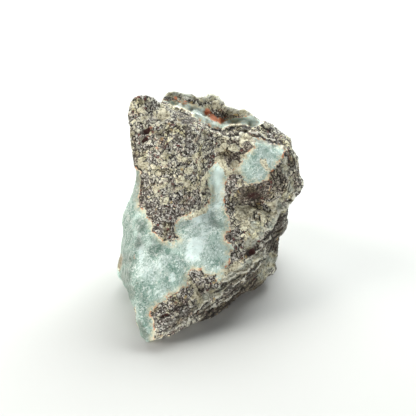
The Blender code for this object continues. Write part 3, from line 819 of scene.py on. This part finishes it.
def read(mesh, name):
    """One vector a point of the mesh."""
    values = np.empty(len(mesh.vertices) * 3)
    mesh.vertices.foreach_get(name, values)
    return values.reshape(-1, 3)


def keep(mesh, name, values):
    """Stores one number a point in the mesh."""
    attribute = mesh.attributes.new(name, "FLOAT", "POINT")
    attribute.data.foreach_set("value", np.asarray(values, np.float32))


def fine_skin(skin_step):
    """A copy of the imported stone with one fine, even, closed skin, in a new object."""
    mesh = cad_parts[NODE].data.copy()
    mesh.materials.clear()
    loose = bmesh.new()
    loose.from_mesh(mesh)
    bmesh.ops.remove_doubles(loose, verts=loose.verts, dist=MERGE_WITHIN)
    loose.to_mesh(mesh)
    loose.free()
    stone = bpy.data.objects.new(PIECE, mesh)
    bpy.context.scene.collection.objects.link(stone)
    skin = stone.modifiers.new("skin", "REMESH")
    skin.mode = "VOXEL"
    skin.voxel_size = skin_step
    worn = stone.modifiers.new("worn", "SMOOTH")
    worn.iterations = SMOOTH_STEPS
    bake(stone)
    return stone


def bake(stone):
    """The stone's modifiers made part of its mesh."""
    bpy.context.view_layer.update()
    graph = bpy.context.evaluated_depsgraph_get()
    old = stone.data
    mesh = bpy.data.meshes.new_from_object(stone.evaluated_get(graph))
    stone.modifiers.clear()
    stone.data = mesh
    bpy.data.meshes.remove(old)
    mesh.name = PIECE


def level_and_fill(mesh):
    """Makes the base flat and fills the channel. The points' places in mm and their normals come back."""
    places = read(mesh, "co") / MM
    normals = read(mesh, "normal")
    low = (places[:, 2] < FLAT_WITHIN) & (normals[:, 2] < FLAT_NORMAL)
    places[low, 2] = 0
    places[:, 2] = np.maximum(places[:, 2], 0)
    lift = np.zeros(len(places))
    for across, away, reach, height in CHANNEL_FILL:
        far = np.hypot(places[:, 0] - across, places[:, 1] - away) / reach
        lift = np.maximum(lift, height * (1 - step(far, *FILL_FADE)))
    places[:, 2] += np.where(normals[:, 2] > 0, lift, 0)
    mesh.vertices.foreach_set("co", (places * MM).astype(np.float32).ravel())
    return places, normals


def mark_out(stone):
    """Stores in the mesh where the stone is blue, crusted, pale, dark, pitted, rusty, clouded or shelved, and
    where light and shade are painted.
    """
    mesh = stone.data
    places, normals = level_and_fill(mesh)
    points = picture_of(places)
    seen = step(normals @ np.array(TO_VIEWER), HIDDEN_FROM, SEEN_FULLY)
    # The hidden side is laid out by slow noise of these sizes in mm and seeds.
    slow = swells(places, 17.0, 1.0)
    other = swells(places, 9.0, 5.0)
    left = step(-normals[:, 0], 0.1, 0.8) * step(-places[:, 2], -BLUE_BELOW[1], -BLUE_BELOW[0])
    keep(mesh, "blue_mm", between(seen, inside_any(points, BLUE_OUTLINES), slow * 6 - 2.6 + 7 * left))
    shaken = points + SHAKE * np.stack([swells(places, 1.7, 21.0), swells(places, 1.7, 25.0)], 1)
    for name, (outlines, size, seed, reach, level) in AREAS.items():
        hidden = swells(places, size, seed) * reach + level
        keep(mesh, name, between(seen, inside_any(shaken, outlines), hidden))
    keep(mesh, "ridge", seen * on_lines(shaken, RIDGE_LINES, RIDGE_REACH))
    keep(mesh, "crack", seen * on_lines(shaken, CRACK_LINES, CRACK_REACH))
    hidden = {
        "pale": 0.3 * step(other, 0.35, 0.75),
        # The hidden side is painted somewhat darker throughout, a painted shade that tempers the back light
        # there, and darker still in slow patches.
        "dark": 0.35 + 0.4 * step(-other, 0.3, 0.8),
        "pit": np.zeros(len(places)),
        "rust": 0.35 * step(-other, 0.6, 1.0),
        "veil": 0.5 * step(other, 0.3, 0.9),
        "teal": 0.6 * step(-other, 0.2, 0.7),
        "shelf": 0.8 * (step(slow, 0.1, 0.5) * step(normals[:, 0], 0.2, 0.7)),
    }
    for name, marks in MARKS.items():
        keep(mesh, name, between(seen, marked(shaken, marks), hidden[name]))
    clear = np.clip(places[:, 2] / BASE_FADE + BASE_LEVEL + BASE_SLOPE * normals[:, 2], 0, 1)
    keep(mesh, "clear_of_base", np.where(places[:, 2] < 1e-6, 0, clear))


def sockets(tree, inputs, outputs):
    """Gives a group its named inputs and outputs. The outputs of its input node come back."""
    for name, kind, value in inputs:
        socket = tree.interface.new_socket(name, in_out="INPUT", socket_type=kind)
        if value is not None:
            socket.default_value = value
    for name, kind in outputs:
        tree.interface.new_socket(name, in_out="OUTPUT", socket_type=kind)
    return put(tree, "NodeGroupInput").outputs


def relief_tree(look, material):
    """The Geometry Nodes tree that raises the crust, its clasts, its shelves and the fibres of the blue."""
    tree = bpy.data.node_groups.new("crust_and_fibres", "GeometryNodeTree")
    tree.is_modifier = True
    given = sockets(tree, [
        ("Geometry", GEOMETRY, None), ("Crust Rise", NUMBER, look.crust_rise),
        ("Clast Rise", NUMBER, look.clast_rise), ("Pit Depth", NUMBER, look.pit_depth),
        ("Shelf Depth", NUMBER, look.shelf_depth), ("Material", "NodeSocketMaterial", material),
    ], [("Geometry", GEOMETRY)])

    def stored(name):
        """A number that mark_out stored in the mesh."""
        return put(tree, "GeometryNodeInputNamedAttribute", {"Name": name}, data_type="FLOAT").outputs[0]

    # The patterns are laid out in mm on the skin before it is raised, and the material reads the same places.
    place = resized(tree, put(tree, "GeometryNodeInputPosition").outputs[0], 1 / MM)
    rest = put(tree, "GeometryNodeStoreNamedAttribute",
               {"Geometry": given["Geometry"], "Name": "rest", "Value": place},
               data_type="FLOAT_VECTOR", domain="POINT")
    edge = crust_edge(tree, place, stored("blue_mm"))
    crusted = span(tree, edge, -0.25, 0.3, 1.0, 0.0)
    finer = area(tree, place, stored("fine_mm"), *FINE_AREA)
    creamy = area(tree, place, stored("cream_mm"), *CREAM_AREA)
    clast = big_clasts(tree, place, stored("pale"), finer)[0]
    clast = calc(tree, "MAXIMUM", clast, times(tree, creamy, 0.45))
    # The crust: lumps, chips and grit.
    lumps = swing(tree, place, *LUMPS)
    grit = swing(tree, place, *GRIT)
    chips = clasts(tree, ragged(tree, place, *CHIP_PUSH), 1.1, 1.1, 0.0, 0.25)[0]
    chips = minus(tree, chips, 0.6)
    crust = times_plus(tree, clast, given["Clast Rise"], given["Crust Rise"])
    crust = times_plus(tree, lumps, LUMP_RISE, crust)
    crust = times_plus(tree, chips, CHIP_RISE, crust)
    crust = times_plus(tree, grit, GRIT_RISE, crust)
    # The blue: shallow hollows, fibres and less grit.
    hammered = swing(tree, place, *HAMMERED)
    fibre = swing(tree, stretched(tree, place, FIBRE_ALONG, 0.18), *FIBRES)
    blue = times(tree, hammered, HAMMERED_RISE)
    blue = times_plus(tree, fibre, FIBRE_RISE, blue)
    blue = times_plus(tree, grit, BLUE_GRIT_RISE, blue)
    out = mixed(tree, crusted, blue, crust)
    # Over both: shelves, ridges, cracks and pits.
    shelf = times(tree, minus(tree, shelves(tree, place), 0.5), stored("shelf"))
    out = times_plus(tree, shelf, given["Shelf Depth"], out)
    out = times_plus(tree, stored("ridge"), RIDGE_RISE, out)
    out = times_plus(tree, stored("crack"), -CRACK_DEPTH, out)
    out = minus(tree, out, times(tree, stored("pit"), given["Pit Depth"]))
    out = times(tree, out, stored("clear_of_base"))
    offset = resized(tree, put(tree, "GeometryNodeInputNormal").outputs[0], out)
    moved = put(tree, "GeometryNodeSetPosition", {"Geometry": rest.outputs[0], "Offset": offset})
    # No point goes below the floor.
    level = put(tree, "GeometryNodeInputPosition").outputs[0]
    above = vector(tree, "MAXIMUM", level, (-1.0, -1.0, 0.0))
    flat = put(tree, "GeometryNodeSetPosition", {"Geometry": moved.outputs[0], "Position": above})
    smooth = put(tree, "GeometryNodeSetShadeSmooth", {0: flat.outputs[0], "Shade Smooth": True})
    real = put(tree, "GeometryNodeRealizeInstances", {0: smooth.outputs[0]})
    painted = put(tree, "GeometryNodeSetMaterial", {0: real.outputs[0], "Material": given["Material"]})
    put(tree, "NodeGroupOutput", {0: painted.outputs[0]})
    return tree


def basalt_group(look):
    """The shader group of the crust: its colour, roughness and fine height at a place."""
    tree = bpy.data.node_groups.new("basalt_crust", "ShaderNodeTree")
    given = sockets(tree, [
        ("Place", VECTOR, None), ("Pale", NUMBER, 0.0), ("Dark", NUMBER, 0.0), ("Shelf", NUMBER, 0.0),
        ("Fine mm", NUMBER, -5.0), ("Dark mm", NUMBER, -5.0),
        ("Deep", COLOUR, (*look.crust_dark, 1)), ("Clast", COLOUR, (*look.clast, 1)),
    ], [("Color", COLOUR), ("Roughness", NUMBER), ("Height", NUMBER)])
    place = given["Place"]
    finer = area(tree, place, given["Fine mm"], *FINE_AREA)
    mottled = cloud(tree, place, *MOTTLING)
    patchy = cloud(tree, place, *PATCHES)
    # Brown ground with dark mottling.
    ground = ramp(tree, cloud(tree, place, *GROUND_TONES), *GROUND_SCALE)
    ground = blended(tree, finer, ground, FINE_GROUND)
    colour = blended(tree, span(tree, mottled, 0.44, 0.55), given["Deep"], ground)
    # Fine grains, from black to white.
    speck, _, _, tone, odd = clasts(tree, ragged(tree, place, *SPECK_PUSH), 0.36, 0.85, 0.02, 0.12)
    grey = ramp(tree, tone, *GRAIN_SCALE)
    colour = blended(tree, times_plus(tree, finer, -0.15, 0.85), colour, grey)
    # Dark areas: darker crust, and painted shade in the hollow under the lobe, under the ledges and on the
    # rim's face.
    dark_and_shaded = area(tree, place, given["Dark mm"], *DARK_AREA)
    colour = blended(tree, times(tree, dark_and_shaded, 0.9), colour, DARK_AND_SHADED_CRUST, "MULTIPLY")
    # Larger clasts, some of them hollow, each in a dark gap.
    clast, border, depth, shade, kind = big_clasts(tree, place, given["Pale"], finer)
    clast = times(tree, clast, times_plus(tree, dark_and_shaded, -0.8, 1.0))
    cream = blended(tree, span(tree, shade, 0.05, 0.35), DULL_CREAM, given["Clast"])
    hollow = times(tree, span(tree, depth, 0.14, 0.24), calc(tree, "GREATER_THAN", kind, 0.5))
    cream = blended(tree, times(tree, hollow, 0.75), cream, HOLLOW_CREAM)
    cream = blended(tree, span(tree, mottled, 0.36, 0.46, 0.4, 0.0), cream, ground)
    colour = blended(tree, times(tree, border, 0.8), colour, given["Deep"])
    colour = blended(tree, clast, colour, cream)
    # Flakes, fewer where the basalt is fine or dark, and dimmed in the dark areas along with their painted
    # shade.
    fewer = times_plus(tree, finer, -0.72, times_plus(tree, given["Pale"], 0.6, 1.0))
    fewer = times_plus(tree, dark_and_shaded, -0.3, fewer)
    height = times_plus(tree, clast, 0.5, times(tree, speck, 0.4))
    for along, size, share, seed in FLAKES:
        laid = stretched(tree, ragged(tree, place, 0.7, 0.25, seed), along, 0.42)
        flake, border, _, tone, _ = clasts(tree, laid, size, times(tree, fewer, share), 0.06, 0.06)
        colour = blended(tree, times(tree, border, 0.7), colour, given["Deep"])
        light = ramp(tree, tone, *FLAKE_SCALE)
        light = blended(tree, span(tree, mottled, 0.38, 0.5, 0.45, 0.0), light, ground)
        light = blended(tree, times(tree, dark_and_shaded, 0.6), light, DARK_AND_SHADED_FLAKE, "MULTIPLY")
        colour = blended(tree, flake, colour, light)
        height = times_plus(tree, flake, 0.5, height)
    # Shelves with painted highlights on their lips and painted shade in their gaps.
    shelf = shelves(tree, place)
    lit_lip = times(tree, span(tree, shelf, 0.6, 0.95), given["Shelf"])
    colour = blended(tree, times(tree, lit_lip, 0.35), colour, SHELF_LIP_HIGHLIGHT)
    gap = times(tree, span(tree, shelf, 0.35, 0.0), given["Shelf"])
    colour = blended(tree, times(tree, gap, 0.8), colour, given["Deep"])
    # Olive and red stains, and a few red and tan grains.
    olive = cloud(tree, place, *OLIVE_TONES)
    colour = blended(tree, span(tree, olive, 0.52, 0.66, 0.0, 0.7), colour, OLIVE, "MULTIPLY")
    for size, seed, share, tint in ((0.8, 45.0, 0.045, RED_GRAIN), (0.9, 49.0, 0.015, TAN_GRAIN)):
        spot = clasts(tree, ragged(tree, place, 0.6, 0.25, seed), size, share, 0.06, 0.12)[0]
        colour = blended(tree, times(tree, spot, 0.8), colour, tint)
    blush = cloud(tree, place, *BLUSHES)
    colour = blended(tree, span(tree, blush, 0.55, 0.68, 0.0, 0.6), colour, BLUSH, "MULTIPLY")
    # Shade where the stone was marked dark.
    deep = span(tree, times_plus(tree, patchy, 0.4, given["Dark"]), 0.3, 1.2, 0.0, 0.85)
    colour = blended(tree, deep, colour, DEEP_SHADE, "MULTIPLY")
    height = times_plus(tree, mottled, 0.7, height)
    rough = times_plus(tree, odd, -0.25, 0.8)
    put(tree, "NodeGroupOutput", {"Color": colour, "Roughness": rough, "Height": height})
    return tree


def patches_group(look):
    """The shader group that lays patches, ridges, cracks, rust and pits over a colour and a height, with
    painted light and shade among them.
    """
    tree = bpy.data.node_groups.new("patches_and_stains", "ShaderNodeTree")
    given = sockets(tree, [
        ("Color", COLOUR, (0.5, 0.5, 0.5, 1)), ("Height", NUMBER, 0.0), ("Place", VECTOR, None),
        ("Cream mm", NUMBER, -5.0), ("Chalk mm", NUMBER, -5.0), ("Crack", NUMBER, 0.0), ("Rust", NUMBER, 0.0),
        ("Pit", NUMBER, 0.0), ("Ridge", NUMBER, 0.0), ("Dark", NUMBER, 0.0), ("Pale", NUMBER, 0.0),
        ("Deep", COLOUR, (*look.crust_dark, 1)), ("Stain", COLOUR, (*look.rust, 1)),
    ], [("Color", COLOUR), ("Height", NUMBER)])
    place = given["Place"]
    colour = given["Color"]
    mottled = cloud(tree, place, *MOTTLING)
    patchy = cloud(tree, place, *PATCHES)
    # Chalky patches, streaked from grey to cream.
    streaky = cloud(tree, stretched(tree, ragged(tree, place, *STREAK_PUSH), STREAK_ALONG, 0.35), *STREAKS)
    chalky = area(tree, place, given["Chalk mm"], *CHALK_AREA)
    chalk = ramp(tree, streaky, *CHALK_SCALE)
    tint = ramp(tree, cloud(tree, place, *CHALK_TONES), *CHALK_TINTS)
    chalk = blended(tree, 1.0, chalk, tint, "MULTIPLY")
    colour = blended(tree, times(tree, chalky, 0.85), colour, chalk)
    # Cream patches.
    creamy = area(tree, place, given["Cream mm"], *CREAM_AREA)
    cream = ramp(tree, times_plus(tree, mottled, 0.5, times(tree, patchy, 0.5)), *CREAM_SCALE)
    colour = blended(tree, times(tree, creamy, 0.96), colour, cream)
    # Both are duller where the stone isn't marked pale, so that the pale marks also paint light on them, and
    # dim where it is marked dark, partly painted shade.
    laid = calc(tree, "MAXIMUM", chalky, creamy)
    plain = times(tree, laid, span(tree, given["Pale"], 0.0, 0.9, 1.0, 0.0))
    colour = blended(tree, plain, colour, PLAIN_PATCH, "MULTIPLY")
    shaded = times(tree, laid, span(tree, given["Dark"], 0.1, 1.1))
    colour = blended(tree, shaded, colour, DARK_AND_SHADED_PATCH, "MULTIPLY")
    # Pale ridges, partly painted highlights on lit edges, dark cracks, partly painted shade under the ledges,
    # rust, and pits, partly painted shade in hollows.
    ridge = times(tree, span(tree, given["Ridge"], 0.1, 0.5), span(tree, patchy, 0.38, 0.5))
    colour = blended(tree, times(tree, ridge, 0.65), colour, RIDGE_CREAM_AND_HIGHLIGHT)
    crack = times(tree, span(tree, given["Crack"], 0.1, 0.5), span(tree, patchy, 0.36, 0.46, 0.4, 0.9))
    colour = blended(tree, crack, colour, given["Deep"])
    stain = span(tree, times_plus(tree, patchy, 0.6, given["Rust"]), 0.55, 1.1)
    colour = blended(tree, times(tree, stain, 0.85), colour, given["Stain"])
    pit_and_shade_dark = span(tree, times_plus(tree, patchy, 0.5, given["Pit"]), 0.6, 0.85, 0.0, 0.97)
    colour = blended(tree, pit_and_shade_dark, colour, PIT_AND_SHADE_BLACK)
    height = times_plus(tree, creamy, 0.25, given["Height"])
    put(tree, "NodeGroupOutput", {"Color": colour, "Height": height})
    return tree


def larimar_group(look):
    """The shader group of the blue: its colour, roughness and fine height at a place."""
    tree = bpy.data.node_groups.new("larimar_blue", "ShaderNodeTree")
    given = sockets(tree, [
        ("Place", VECTOR, None), ("Veil", NUMBER, 0.0), ("Teal", NUMBER, 0.0), ("Edge", NUMBER, 5.0),
        ("Dark", NUMBER, 0.0), ("Blue", COLOUR, (*look.blue, 1)), ("White", COLOUR, (*look.veil, 1)),
        ("Deep", COLOUR, (*look.teal, 1)), ("Glow", COLOUR, (*look.whitest_and_highlight, 1)),
    ], [("Color", COLOUR), ("Roughness", NUMBER), ("Height", NUMBER)])
    place = given["Place"]
    warped = ragged(tree, place, *BLUE_PUSH)
    fibres = stretched(tree, warped, FIBRE_ALONG, 0.25)
    crossed = stretched(tree, warped, CROSSED_ALONG, 0.3)

    def waver(source, size, seed, weight):
        """Wavering about nought by so much, in lumps of that size in mm."""
        return times(tree, swing(tree, source, size, 3.0, 0.7, seed), weight)

    # Deep green blue, in clouds, along the fibres and in grain. Where the teal marks lie it is also painted
    # shade on the left face and lower front.
    deep = times_plus(tree, given["Teal"], 0.35, waver(place, 4.2, 51.0, 0.8))
    deep = plus(tree, deep, waver(warped, 1.5, 55.0, 0.7))
    deep = plus(tree, deep, waver(fibres, 0.7, 53.0, 2.0))
    deep = plus(tree, deep, waver(place, 0.45, 57.0, 2.2))
    colour = blended(tree, span(tree, deep, -0.08, 0.5), given["Blue"], given["Deep"])
    # White clouds over it, and fine white threads. Where the veil marks lie the white is also painted light
    # on the shaded vein, channel and hollows, and painted highlights where the blue shines.
    clouds_and_painted_light = times_plus(tree, given["Veil"], 0.42, waver(place, 3.4, 59.0, 0.5))
    clouds_and_painted_light = plus(tree, clouds_and_painted_light, waver(warped, 1.2, 65.0, 0.6))
    clouds_and_painted_light = plus(tree, clouds_and_painted_light, waver(crossed, 0.65, 69.0, 1.9))
    clouds_and_painted_light = plus(tree, clouds_and_painted_light, waver(place, 0.42, 75.0, 2.2))
    colour = blended(tree, span(tree, clouds_and_painted_light, 0.04, 0.48, 0.0, 0.92), colour, given["White"])
    for source, seed in ((fibres, 63.0), (crossed, 77.0)):
        thread = calc(tree, "ABSOLUTE", waver(source, 1.3, seed, 1.0))
        thread = times(tree, span(tree, thread, 0.016, 0.0), span(tree, clouds_and_painted_light, -0.1, 0.2, 0.1, 0.7))
        colour = blended(tree, thread, colour, given["White"])
    # White and green flecks.
    for seed, share, size, tint in ((61.0, 0.13, 0.6, WHITE_FLECK), (67.0, 0.1, 0.7, GREEN_FLECK)):
        fleck = clasts(tree, ragged(tree, place, 0.5, 0.2, seed), size, share, 0.12, 0.14)[0]
        colour = blended(tree, times(tree, fleck, 0.6), colour, tint)
    # The whitest places: partly white clouding, partly painted highlights where the blue shines.
    whitest_and_highlight = span(tree, plus(tree, given["Veil"], waver(crossed, 1.2, 81.0, 1.6)), 0.35, 1.7)
    colour = blended(tree, whitest_and_highlight, colour, given["Glow"])
    # Chalk along the crust, and shade where the stone was marked dark.
    near_crust = span(tree, given["Edge"], 0.1, 1.9, 0.85, 0.0)
    patchy = cloud(tree, place, *EDGE_CHALK)
    chalky = times(tree, near_crust, span(tree, patchy, 0.4, 0.56))
    colour = blended(tree, chalky, colour, EDGE_CREAM)
    shade = span(tree, plus(tree, given["Dark"], waver(warped, 1.8, 85.0, 0.7)), 0.0, 1.7)
    colour = blended(tree, shade, colour, DARK_AND_SHADED_BLUE, "MULTIPLY")
    # Fibres with a silky shine.
    silk = cloud(tree, fibres, *SILK)
    rough = span(tree, silk, 0.3, 0.7, 0.48, 0.3)
    height = times_plus(tree, silk, 1.2, times(tree, patchy, 0.6))
    put(tree, "NodeGroupOutput", {"Color": colour, "Roughness": rough, "Height": height})
    return tree


def stone_material(look):
    """The stone's one material, which goes from crust to blue at the crust's ragged edge."""
    material = bpy.data.materials.new("larimar_and_basalt")
    material.use_nodes = True
    tree = material.node_tree
    tree.nodes.clear()

    def stored(name, output="Fac"):
        """A value that is stored in the mesh."""
        node = put(tree, "ShaderNodeAttribute", attribute_name=name, attribute_type="GEOMETRY")
        return node.outputs[output]

    def group(node_tree, names, **values):
        """A group's node, with its values, and joined to the stored numbers that its named inputs ask for."""
        node = put(tree, "ShaderNodeGroup", values, node_tree=node_tree)
        for name in names:
            tree.links.new(stored(name.lower().replace(" ", "_")), node.inputs[name])
        return node.outputs

    place = stored("rest", "Vector")
    edge = crust_edge(tree, place, stored("blue_mm"))
    edge = times_plus(tree, swing(tree, place, *EDGE_FRAY), 0.8, edge)
    crust = group(basalt_group(look), ("Pale", "Dark", "Shelf", "Fine mm", "Dark mm"), Place=place)
    blue = group(larimar_group(look), ("Veil", "Teal", "Dark"), Place=place, Edge=edge)
    crusted = span(tree, edge, -0.1, 0.1, 1.0, 0.0)
    colour = blended(tree, crusted, blue["Color"], crust["Color"])
    # The stain on the line where crust meets blue.
    rim_near = times(tree, span(tree, edge, -0.2, 0.02), span(tree, edge, 0.4, 0.1))
    rim_tone = span(tree, cloud(tree, place, *RIM_TONES), 0.44, 0.58)
    rim_colour = blended(tree, rim_tone, PALE_RIM, look.rim)
    rim_patchy = span(tree, cloud(tree, place, *RIM_GAPS), 0.42, 0.56, 0.0, 0.95)
    colour = blended(tree, times(tree, rim_near, rim_patchy), colour, rim_colour)
    rough = mixed(tree, crusted, blue["Roughness"], crust["Roughness"])
    coat = mixed(tree, crusted, 0.12, 0.0)
    height = mixed(tree, crusted, times(tree, blue["Height"], 0.4), crust["Height"])
    patches = group(
        patches_group(look), ("Cream mm", "Chalk mm", "Pale", "Dark", "Ridge", "Crack", "Rust", "Pit"),
        Place=place, Color=colour, Height=height)
    bump = put(tree, "ShaderNodeBump", {"Height": patches["Height"], "Strength": 0.8, "Distance": BUMP_RISE})
    shader = put(tree, "ShaderNodeBsdfPrincipled", {
        "Base Color": patches["Color"], "Roughness": rough, "Coat Weight": coat, "Normal": bump.outputs[0],
        "Metallic": 0.0, "IOR": 1.55, "Specular IOR Level": 0.3, "Coat Roughness": 0.4})
    put(tree, "ShaderNodeOutputMaterial", {"Surface": shader.outputs[0]})
    return material


class LARIMAR_OT_stone(bpy.types.Operator):
    """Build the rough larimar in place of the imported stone"""

    bl_idname = "larimar.stone"
    bl_label = "Rough larimar"

    def execute(self, context):
        look = context.scene.larimar_stone
        stone = fine_skin(look.skin_step)
        mark_out(stone)
        material = stone_material(look)
        relief = stone.modifiers.new("crust_and_fibres", "NODES")
        relief.node_group = relief_tree(look, material)
        bake(stone)
        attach(stone, BODY)
        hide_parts(NODE)
        return {"FINISHED"}


class LARIMAR_OT_stage(bpy.types.Operator):
    """Lay the pale floor and set up the soft lights and the camera"""

    bl_idname = "larimar.stage"
    bl_label = "Stage"

    def execute(self, context):
        look = context.scene.larimar_stage
        scene = context.scene
        material = bpy.data.materials.new("floor")
        material.use_nodes = True
        shader = material.node_tree.nodes["Principled BSDF"]
        shader.inputs["Base Color"].default_value = (*look.floor, 1)
        shader.inputs["Roughness"].default_value = 0.85
        bpy.ops.mesh.primitive_plane_add(size=FLOOR_SIZE)
        floor = context.object
        floor.name = "floor"
        floor.data.materials.append(material)
        world = bpy.data.worlds.new("studio")
        world.use_nodes = True
        back = world.node_tree.nodes["Background"]
        back.inputs["Color"].default_value = (1.0, 1.0, 1.0, 1)
        back.inputs["Strength"].default_value = look.fill
        scene.world = world
        for name, place in LIGHTS.items():
            add_light(name + "_light", getattr(look, name), *place)
        data = bpy.data.cameras.new("camera")
        data.sensor_width = FILM_WIDTH
        data.lens = FILM_WIDTH * look.distance / look.view_width
        data.clip_end = SIGHT_LIMIT
        camera = bpy.data.objects.new("camera", data)
        scene.collection.objects.link(camera)
        camera.location = VIEW_MIDDLE + Vector(TO_VIEWER) * look.distance
        camera.rotation_euler = (pi / 2 - SEEN_FROM, 0, 0)
        scene.camera = camera
        scene.view_settings.view_transform = "Standard"
        return {"FINISHED"}


def add_light(name, power, turn, height, size, colour):
    """A soft light that faces the stone, turned clockwise from straight behind it and raised, in degrees."""
    data = bpy.data.lights.new(name, "AREA")
    data.shape = "RECTANGLE"
    data.size, data.size_y = size
    data.energy = power
    data.color = colour
    light = bpy.data.objects.new(name, data)
    bpy.context.scene.collection.objects.link(light)
    turn = radians(turn)
    height = radians(height)
    towards = Vector((sin(turn) * cos(height), cos(turn) * cos(height), sin(height)))
    light.location = towards * LIGHT_DISTANCE
    light.rotation_euler = (LIT_POINT - light.location).to_track_quat("-Z", "Y").to_euler()


class LARIMAR_PT_panel(bpy.types.Panel):
    """The stone, its stage and their settings"""

    bl_idname = "LARIMAR_PT_panel"
    bl_label = "Rough larimar"
    bl_space_type = "VIEW_3D"
    bl_region_type = "UI"
    bl_category = "Larimar"

    def draw(self, context):
        for look, operator in ((context.scene.larimar_stone, LARIMAR_OT_stone),
                               (context.scene.larimar_stage, LARIMAR_OT_stage)):
            box = self.layout.box()
            for name in look.__annotations__:
                box.prop(look, name)
            box.operator(operator.bl_idname)


CLASSES = (StoneLook, StageLook, LARIMAR_OT_stone, LARIMAR_OT_stage, LARIMAR_PT_panel)


def register():
    for kind in CLASSES:
        bpy.utils.register_class(kind)
    bpy.types.Scene.larimar_stone = bpy.props.PointerProperty(type=StoneLook)
    bpy.types.Scene.larimar_stage = bpy.props.PointerProperty(type=StageLook)


def unregister():
    del bpy.types.Scene.larimar_stage
    del bpy.types.Scene.larimar_stone
    for kind in reversed(CLASSES):
        bpy.utils.unregister_class(kind)


def main():
    register()
    bpy.ops.larimar.stone()
    bpy.ops.larimar.stage()


if __name__ == "__main__":
    main()
